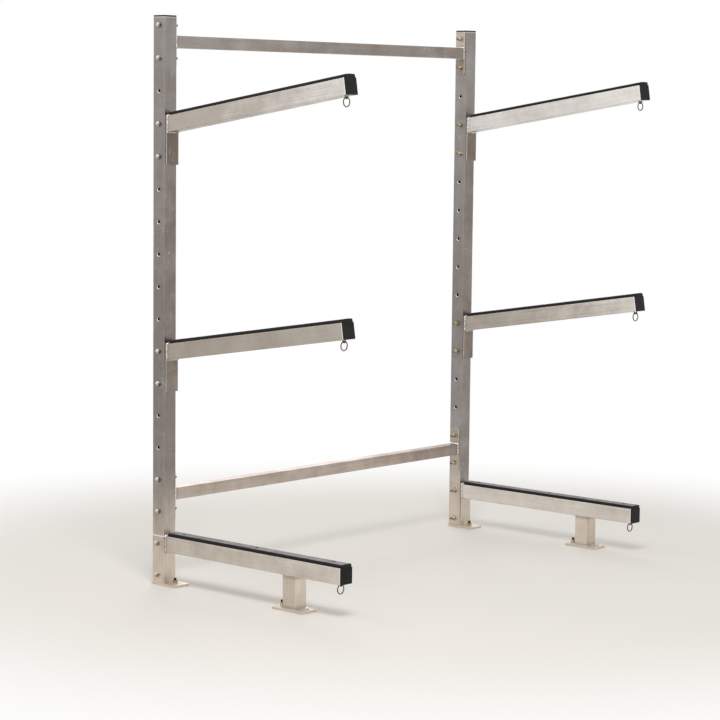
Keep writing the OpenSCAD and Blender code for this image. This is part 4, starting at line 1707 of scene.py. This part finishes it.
@dataclass(frozen=True)
class Studio:
    """A pale floor, soft light and the camera at the photograph's angle."""

    # The camera's place, turn and lens, fitted to the rack's hole rows and edges
    eye: tuple[float, float, float] = (-5.7852, -4.9580, 1.5011)
    azimuth: float = math.radians(-48.222)
    elevation: float = math.radians(6.086)
    roll: float = math.radians(0.624)
    lens: float = 116.87
    # The camera's sensor in millimetres, and how far it sees in metres
    sensor: float = 36.0
    sight: float = 100.0
    # Strength of the dome for rays that only carry light
    ambient: float = 0.6
    floor_radius: float = 2.6
    # Shares of the floor's radius at which its loops lie, and between which it fades to white
    floor_loops: tuple[float, ...] = (0.02, 0.5, 1.0)
    floor_fade: tuple[float, float] = (0.45, 0.97)
    # How far the floor lies under the plates, so that their faces don't fall together
    floor_gap: float = 0.5 * MM

    WHITE = "#ffffff"
    FLOOR = "#ece8e1"
    FLOOR_POINTS = 96
    # Name, place, side in metres and power in watts of each lamp
    LAMPS = (("key", (-2.6, -2.2, 4.2), 1.6, 95.0), ("fill", (3.4, -3.0, 0.65), 1.4, 7.5),
             ("side", (-2.4, 2.9, 3.0), 1.0, 9.0), ("rim", (2.8, 3.4, 2.4), 2.0, 28.0))
    # The rack's middle, which the lamps look at
    AIM = (0, 0, 0.8)

    def build(self) -> None:
        """Builds the world, the floor, the lamps and the camera."""
        scene = bpy.context.scene
        scene.view_settings.view_transform = "Standard"
        self._world(scene)
        self._floor()
        for lamp in self.LAMPS:
            self._lamp(*lamp)
        self._camera(scene)

    def _seen(self, tree: Tree) -> Socket:
        """A mask of the rays that show the background: from the camera, off metal or through glass.

        Args:
            tree: The node tree.

        Returns:
            1 for those rays, and 0 for the rays that only carry light.
        """
        path = add(tree, "ShaderNodeLightPath")
        seen = path.outputs["Is Camera Ray"]
        for ray in ("Is Glossy Ray", "Is Transmission Ray"):
            seen = add(tree, "ShaderNodeMath", {0: seen, 1: path.outputs[ray]},
                       operation="MAXIMUM").outputs[0]
        return seen

    def _world(self, scene: bpy.types.Scene) -> None:
        """A soft grey dome for light, which shows white as a background.

        Args:
            scene: The scene that gets the world.
        """
        world = bpy.data.worlds.new("studio")
        scene.world = world
        world.use_nodes = True
        tree = world.node_tree
        tree.nodes.clear()
        seen = self._seen(tree)
        dome, plain = (
            add(tree, "ShaderNodeBackground", {"Color": linear(self.WHITE), "Strength": strength}).outputs[0]
            for strength in (self.ambient, 1.0))
        mixed = add(tree, "ShaderNodeMixShader", {0: seen, 1: dome, 2: plain}).outputs[0]
        add(tree, "ShaderNodeOutputWorld", {"Surface": mixed})

    def _floor(self) -> None:
        """A pale disc whose rim fades into the white background."""
        turn = np.linspace(0, FULL_TURN, self.FLOOR_POINTS, endpoint=False)
        reach = self.floor_radius * np.array(self.floor_loops)[:, None]
        x, y = reach * np.cos(turn), reach * np.sin(turn)
        points = np.stack([x, y, np.full(x.shape, -self.floor_gap)], -1).reshape(-1, 3)
        index = np.arange(x.size).reshape(x.shape)
        quads = np.stack([index[:-1], index[1:], np.roll(index[1:], -1, 1), np.roll(index[:-1], -1, 1)], -1)
        faces = quads.reshape(-1, 4)[:, ::-1].tolist() + [index[0].tolist()]
        mesh = bpy.data.meshes.new("floor")
        mesh.from_pydata(points.tolist(), [], faces)
        floor = bpy.data.objects.new("floor", mesh)
        bpy.context.scene.collection.objects.link(floor)
        material, tree, shader = blank_material("pale_floor")
        connect(tree, shader, {"Base Color": linear(self.FLOOR), "Roughness": 0.8})
        place = add(tree, "ShaderNodeTexCoord").outputs["Object"]
        away = add(tree, "ShaderNodeVectorMath", {0: place}, operation="LENGTH").outputs["Value"]
        start, end = (share * self.floor_radius for share in self.floor_fade)
        rim = add(tree, "ShaderNodeMapRange", {0: away, 1: start, 2: end},
                  interpolation_type="SMOOTHSTEP").outputs[0]
        share = add(tree, "ShaderNodeMath", {0: rim, 1: self._seen(tree)}, operation="MULTIPLY").outputs[0]
        plain = add(tree, "ShaderNodeEmission", {"Color": linear(self.WHITE), "Strength": 1.0}).outputs[0]
        mixed = add(tree, "ShaderNodeMixShader", {0: share, 1: shader.outputs[0], 2: plain}).outputs[0]
        connect(tree, tree.nodes["Material Output"], {"Surface": mixed})
        mesh.materials.append(material)

    def _lamp(self, name: str, place: tuple[float, float, float], size: float, power: float) -> None:
        """Adds a square area lamp that looks at the rack's middle.

        Args:
            name: The lamp's name.
            place: Where it stands.
            size: Its side.
            power: Its power in watts.
        """
        light = bpy.data.lights.new(name, "AREA")
        light.shape = "SQUARE"
        light.size = size
        light.energy = power
        lamp = bpy.data.objects.new(name, light)
        bpy.context.scene.collection.objects.link(lamp)
        lamp.location = place
        lamp.rotation_euler = (Vector(self.AIM) - Vector(place)).to_track_quat("-Z", "Y").to_euler()

    def _camera(self, scene: bpy.types.Scene) -> None:
        """Sets the camera where the photograph was taken from.

        Args:
            scene: The scene that gets the camera.
        """
        data = bpy.data.cameras.new("camera")
        data.lens = self.lens
        data.sensor_width = self.sensor
        data.clip_end = self.sight
        camera = bpy.data.objects.new("camera", data)
        scene.collection.objects.link(camera)
        a, e = self.azimuth, self.elevation
        back = Vector((math.sin(a) * math.cos(e), -math.cos(a) * math.cos(e), math.sin(e)))
        right = Vector((math.cos(a), math.sin(a), 0))
        level = Matrix((right, back.cross(right), back)).transposed().to_4x4()
        camera.matrix_world = Matrix.Translation(self.eye) @ level @ Matrix.Rotation(self.roll, 4, "Z")
        scene.camera = camera


def make_finishes() -> Finishes:
    """Makes the rack's materials.

    Returns:
        The materials.
    """
    post_low, post_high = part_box("right_post")
    hole = Vector(((post_low.x + post_high.x) / 2, (post_low.y + post_high.y) / 2, post_low.z + HOLE_END))
    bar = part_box("upper_crossbar")
    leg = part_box("left_leg")
    # Each arm is cut from its own tube, and its three shades and how much its tip is lighter also paint the
    # light and shade that fall on it
    arm_lit_shades = {
        (Level.UPPER, Side.LEFT): ("#aca298", "#b5aca3", "#dedad4", 0.5),
        (Level.UPPER, Side.RIGHT): ("#b5aea6", "#d2cdc7", "#eae7e2", 0.3),
        (Level.MIDDLE, Side.LEFT): ("#9d9286", "#a89e93", "#b6ada3", 0.4),
        (Level.MIDDLE, Side.RIGHT): ("#9b9187", "#b0a79e", "#dfd9d1", 0.5),
        (Level.LOWER, Side.LEFT): ("#a1968b", "#b2a79c", "#c4bbb1", 0.3),
        (Level.LOWER, Side.RIGHT): ("#b2a89e", "#c7beb5", "#d9d3cc", -0.1),
    }
    # Shades of the bloom on each side's arms, lighter on the right; the bloom also paints light thrown up
    # from below
    blooms_and_bounce = {Side.LEFT: ("#b9aea3", "#dfd6ce"), Side.RIGHT: ("#cbc2b9", "#f2ece7")}
    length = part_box("lower_left_arm")[1].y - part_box("lower_left_arm")[0].y
    # Painted light and shade on the fronts of the left brackets, changing with height
    bracket_light = {
        Side.LEFT: ((FRONT, 0.2, 0.5, 0.12, 0.3), (FRONT, 0.8, 1.1, 0.0, -0.45)),
        Side.RIGHT: (),
    }
    arms, brackets = {}, {}
    for (level, side), (*shades, lighter) in arm_lit_shades.items():
        word = f"{level.word}_{side.word}"
        low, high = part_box(f"{word}_bracket")
        tip = low.y * math.cos(level.tilt) - high.z * math.sin(level.tilt) - length
        arms[level, side] = MillAluminium(
            f"{word}_arm_mill_aluminium", *shades, Grain.ALONG_Y, tilt=level.tilt,
            shift=4.3 + level.value + 0.7 * side.value, welds=(low.y,), sawn=tip,
            bloom=blooms_and_bounce[side], fade=(low.y, low.y - length, lighter), mottle=0.25).material()
        # The free edge of a bracket's front leg faces -X, except where its side leg is there
        free = () if (level, side) == (Level.LOWER, Side.LEFT) else (LEFTWARD,)
        # The brackets' shades are darker than the posts', which paints the shade under the arms
        brackets[level, side] = MillAluminium(
            f"{word}_bracket_mill_aluminium", "#675d54", "#746a61", "#867c73", Grain.ALONG_Z,
            shift=3.1 + level.value + 0.7 * side.value, bare=(UP, DOWN, *free), sawn=high.z,
            faces=bracket_light[side]).material()
    # Painted light and shade on the posts: faces towards -Y are darker at mid-height and lighter low down and
    # near the top, and faces towards -X get their own changes with height
    front_light = ((FRONT, 0.2, 1.1, 0.2, -0.35), (FRONT, 1.3, 1.6, 0.0, 0.35))
    side_light = {
        Side.LEFT: ((LEFTWARD, 0.15, 0.35, 0.0, 0.12), (LEFTWARD, 0.4, 0.65, 0.0, -0.12),
                    (LEFTWARD, 1.6, 1.7, 0.0, 0.15)),
        Side.RIGHT: ((LEFTWARD, 0.05, 0.35, 0.15, 0.36), (LEFTWARD, 0.5, 0.75, 0.0, -0.26)),
    }
    # The bloom ends lower on the right post's faces towards -Y
    front_bloom_drops = {Side.LEFT: 0.0, Side.RIGHT: 0.16}
    posts = {
        side: MillAluminium(
            f"{side.word}_post_mill_aluminium", "#776e67", "#88817c", "#9b9797", Grain.ALONG_Z,
            fade=(0.6, post_high.z, 0.22), drilled=hole, faces=front_light + side_light[side],
            sheltered=front_bloom_drops[side], sawn=post_high.z, filed_share=0.3).material()
        for side in Side}
    # Three shades of each bar's end plates, and how much their upper ends are lighter
    plate_shades = {
        "upper": ("#897f76", "#9c9389", "#b9b0a7", 0.7),
        "lower": ("#958b81", "#a59b91", "#b7aea5", 0.0),
    }
    end_plates = {}
    for word, (*shades, lighter) in plate_shades.items():
        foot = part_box(f"{word}_crossbar")[0].z
        end_plates[word] = MillAluminium(
            f"{word}_end_plate_mill_aluminium", *shades, Grain.ALONG_Z, shift=9.2,
            bare=(UP, DOWN, BACK, FRONT), bare_share=0.8, fade=(foot, foot + 0.05, lighter)).material()
    # The lower bar is warmer, and darker only near its right end
    bar_shades = {
        "upper": ("#7b726b", "#8f867f", "#a39b94", bar[0].x, 0.35),
        "lower": ("#786a62", "#8c7e76", "#a0928a", bar[1].x - 0.5, 0.45),
    }
    bars = {
        word: MillAluminium(
            f"{word}_bar_mill_aluminium", *shades, Grain.ALONG_X, shift=1.7,
            welds=(bar[0].x, bar[1].x), fade=(bar[1].x, light_from, lighter)).material()
        for word, (*shades, light_from, lighter) in bar_shades.items()}
    # Painted light and shade: the change of tone on each leg's front and on its side towards -X
    leg_light = {Side.LEFT: (0.18, -0.1), Side.RIGHT: (-0.1, 0.2)}
    legs = {
        side: MillAluminium(
            f"{side.word}_leg_mill_aluminium", "#968c80", "#a79d91", "#b9b0a5", Grain.ALONG_Z,
            shift=6.4, welds=(leg[0].z, leg[1].z),
            faces=((FRONT, 0.0, 1.0, ahead, ahead), (LEFTWARD, 0.0, 1.0, beside, beside))).material()
        for side, (ahead, beside) in leg_light.items()}
    return Finishes(
        posts=posts,
        bars=bars,
        end_plates=end_plates,
        brackets=brackets,
        arms=arms,
        legs=legs,
        plate=MillAluminium("plate_mill_aluminium", "#9a9084", "#aca297", "#bfb7ac", Grain.ALONG_Y,
                            shift=7.7, roughness=0.5).material(),
        weld=WeldMetal().material(),
        foot_weld=WeldMetal("splashed_weld_metal", "#d6cfc6", "#8b837c", "#b3aaa1").material(),
        zinc=PlatedMetal("bright_zinc_plate", "#f0eeea", "#d8d5cf", 0.16).material(),
        dull_zinc=PlatedMetal("dull_zinc_plate", "#ece6da", "#958a78", 0.3).material(),
        # The hex bolts' heads get a painted shade on their lower front halves
        weathered_zinc=PlatedMetal("weathered_zinc_plate", "#f4f2ee", "#dedbd5", 0.2, film="#a0988f",
                                   # The thread ends at the left post are darker than at the right, a painted
                                   # shade
                                   lowest=hole, greasy=("#40362f", "#857a69")).material(),
        pale_zinc=PlatedMetal("pale_yellow_zinc_plate", "#f0e7c6", "#a0956e", 0.24).material(),
        yellow_zinc=PlatedMetal("yellow_zinc_plate", "#aea263", "#8d8a52", 0.32).material(),
        wire=PlatedMetal("stainless_wire", "#66625d", "#55514d", 0.3).material(),
        screw=PlatedMetal("blackened_steel", "#2e2a27", "#3d3731", 0.42).material(),
        # The rubber's light top colour and high share paint the sheen of the pads' tops as well as dust
        rubber=Moulded("epdm_rubber", "#1a1818", "#252222", "#b6b0b3", dust_share=0.62, roughness=0.6,
                       ior=1.36, gloss=0.6, grain=0.9 * MM).material(),
        plastic=Moulded("polyethylene_caps", "#1b1b1b", "#262625", "#4a4643", dust_share=0.15,
                        roughness=0.44, ior=1.34, gloss=0.4, grain=0.6 * MM).material(),
        nylon=Moulded("nylon_ring", "#cfcabb", "#c2bcab", "#cfcabb", dust_share=0.0, roughness=0.45,
                      ior=1.53, gloss=1.0, grain=0.5 * MM).material(),
    )


def main() -> None:
    """Builds the rack's pieces in order, then the studio."""
    logging.basicConfig(level=logging.INFO, format="%(name)s: %(message)s")
    finishes = make_finishes()
    Posts(finishes).build()
    Crossbars(finishes).build()
    screws = []
    for level in Level:
        for side in Side:
            arm = Arm(side, level, finishes)
            arm.build()
            screws += arm.screws
    make_piece("pan_head_screws", screws, finishes.screw, stands_for=("pad_screws",))
    Legs(finishes).build()
    Fasteners(finishes).build()
    Studio().build()


if __name__ == "__main__":
    main()
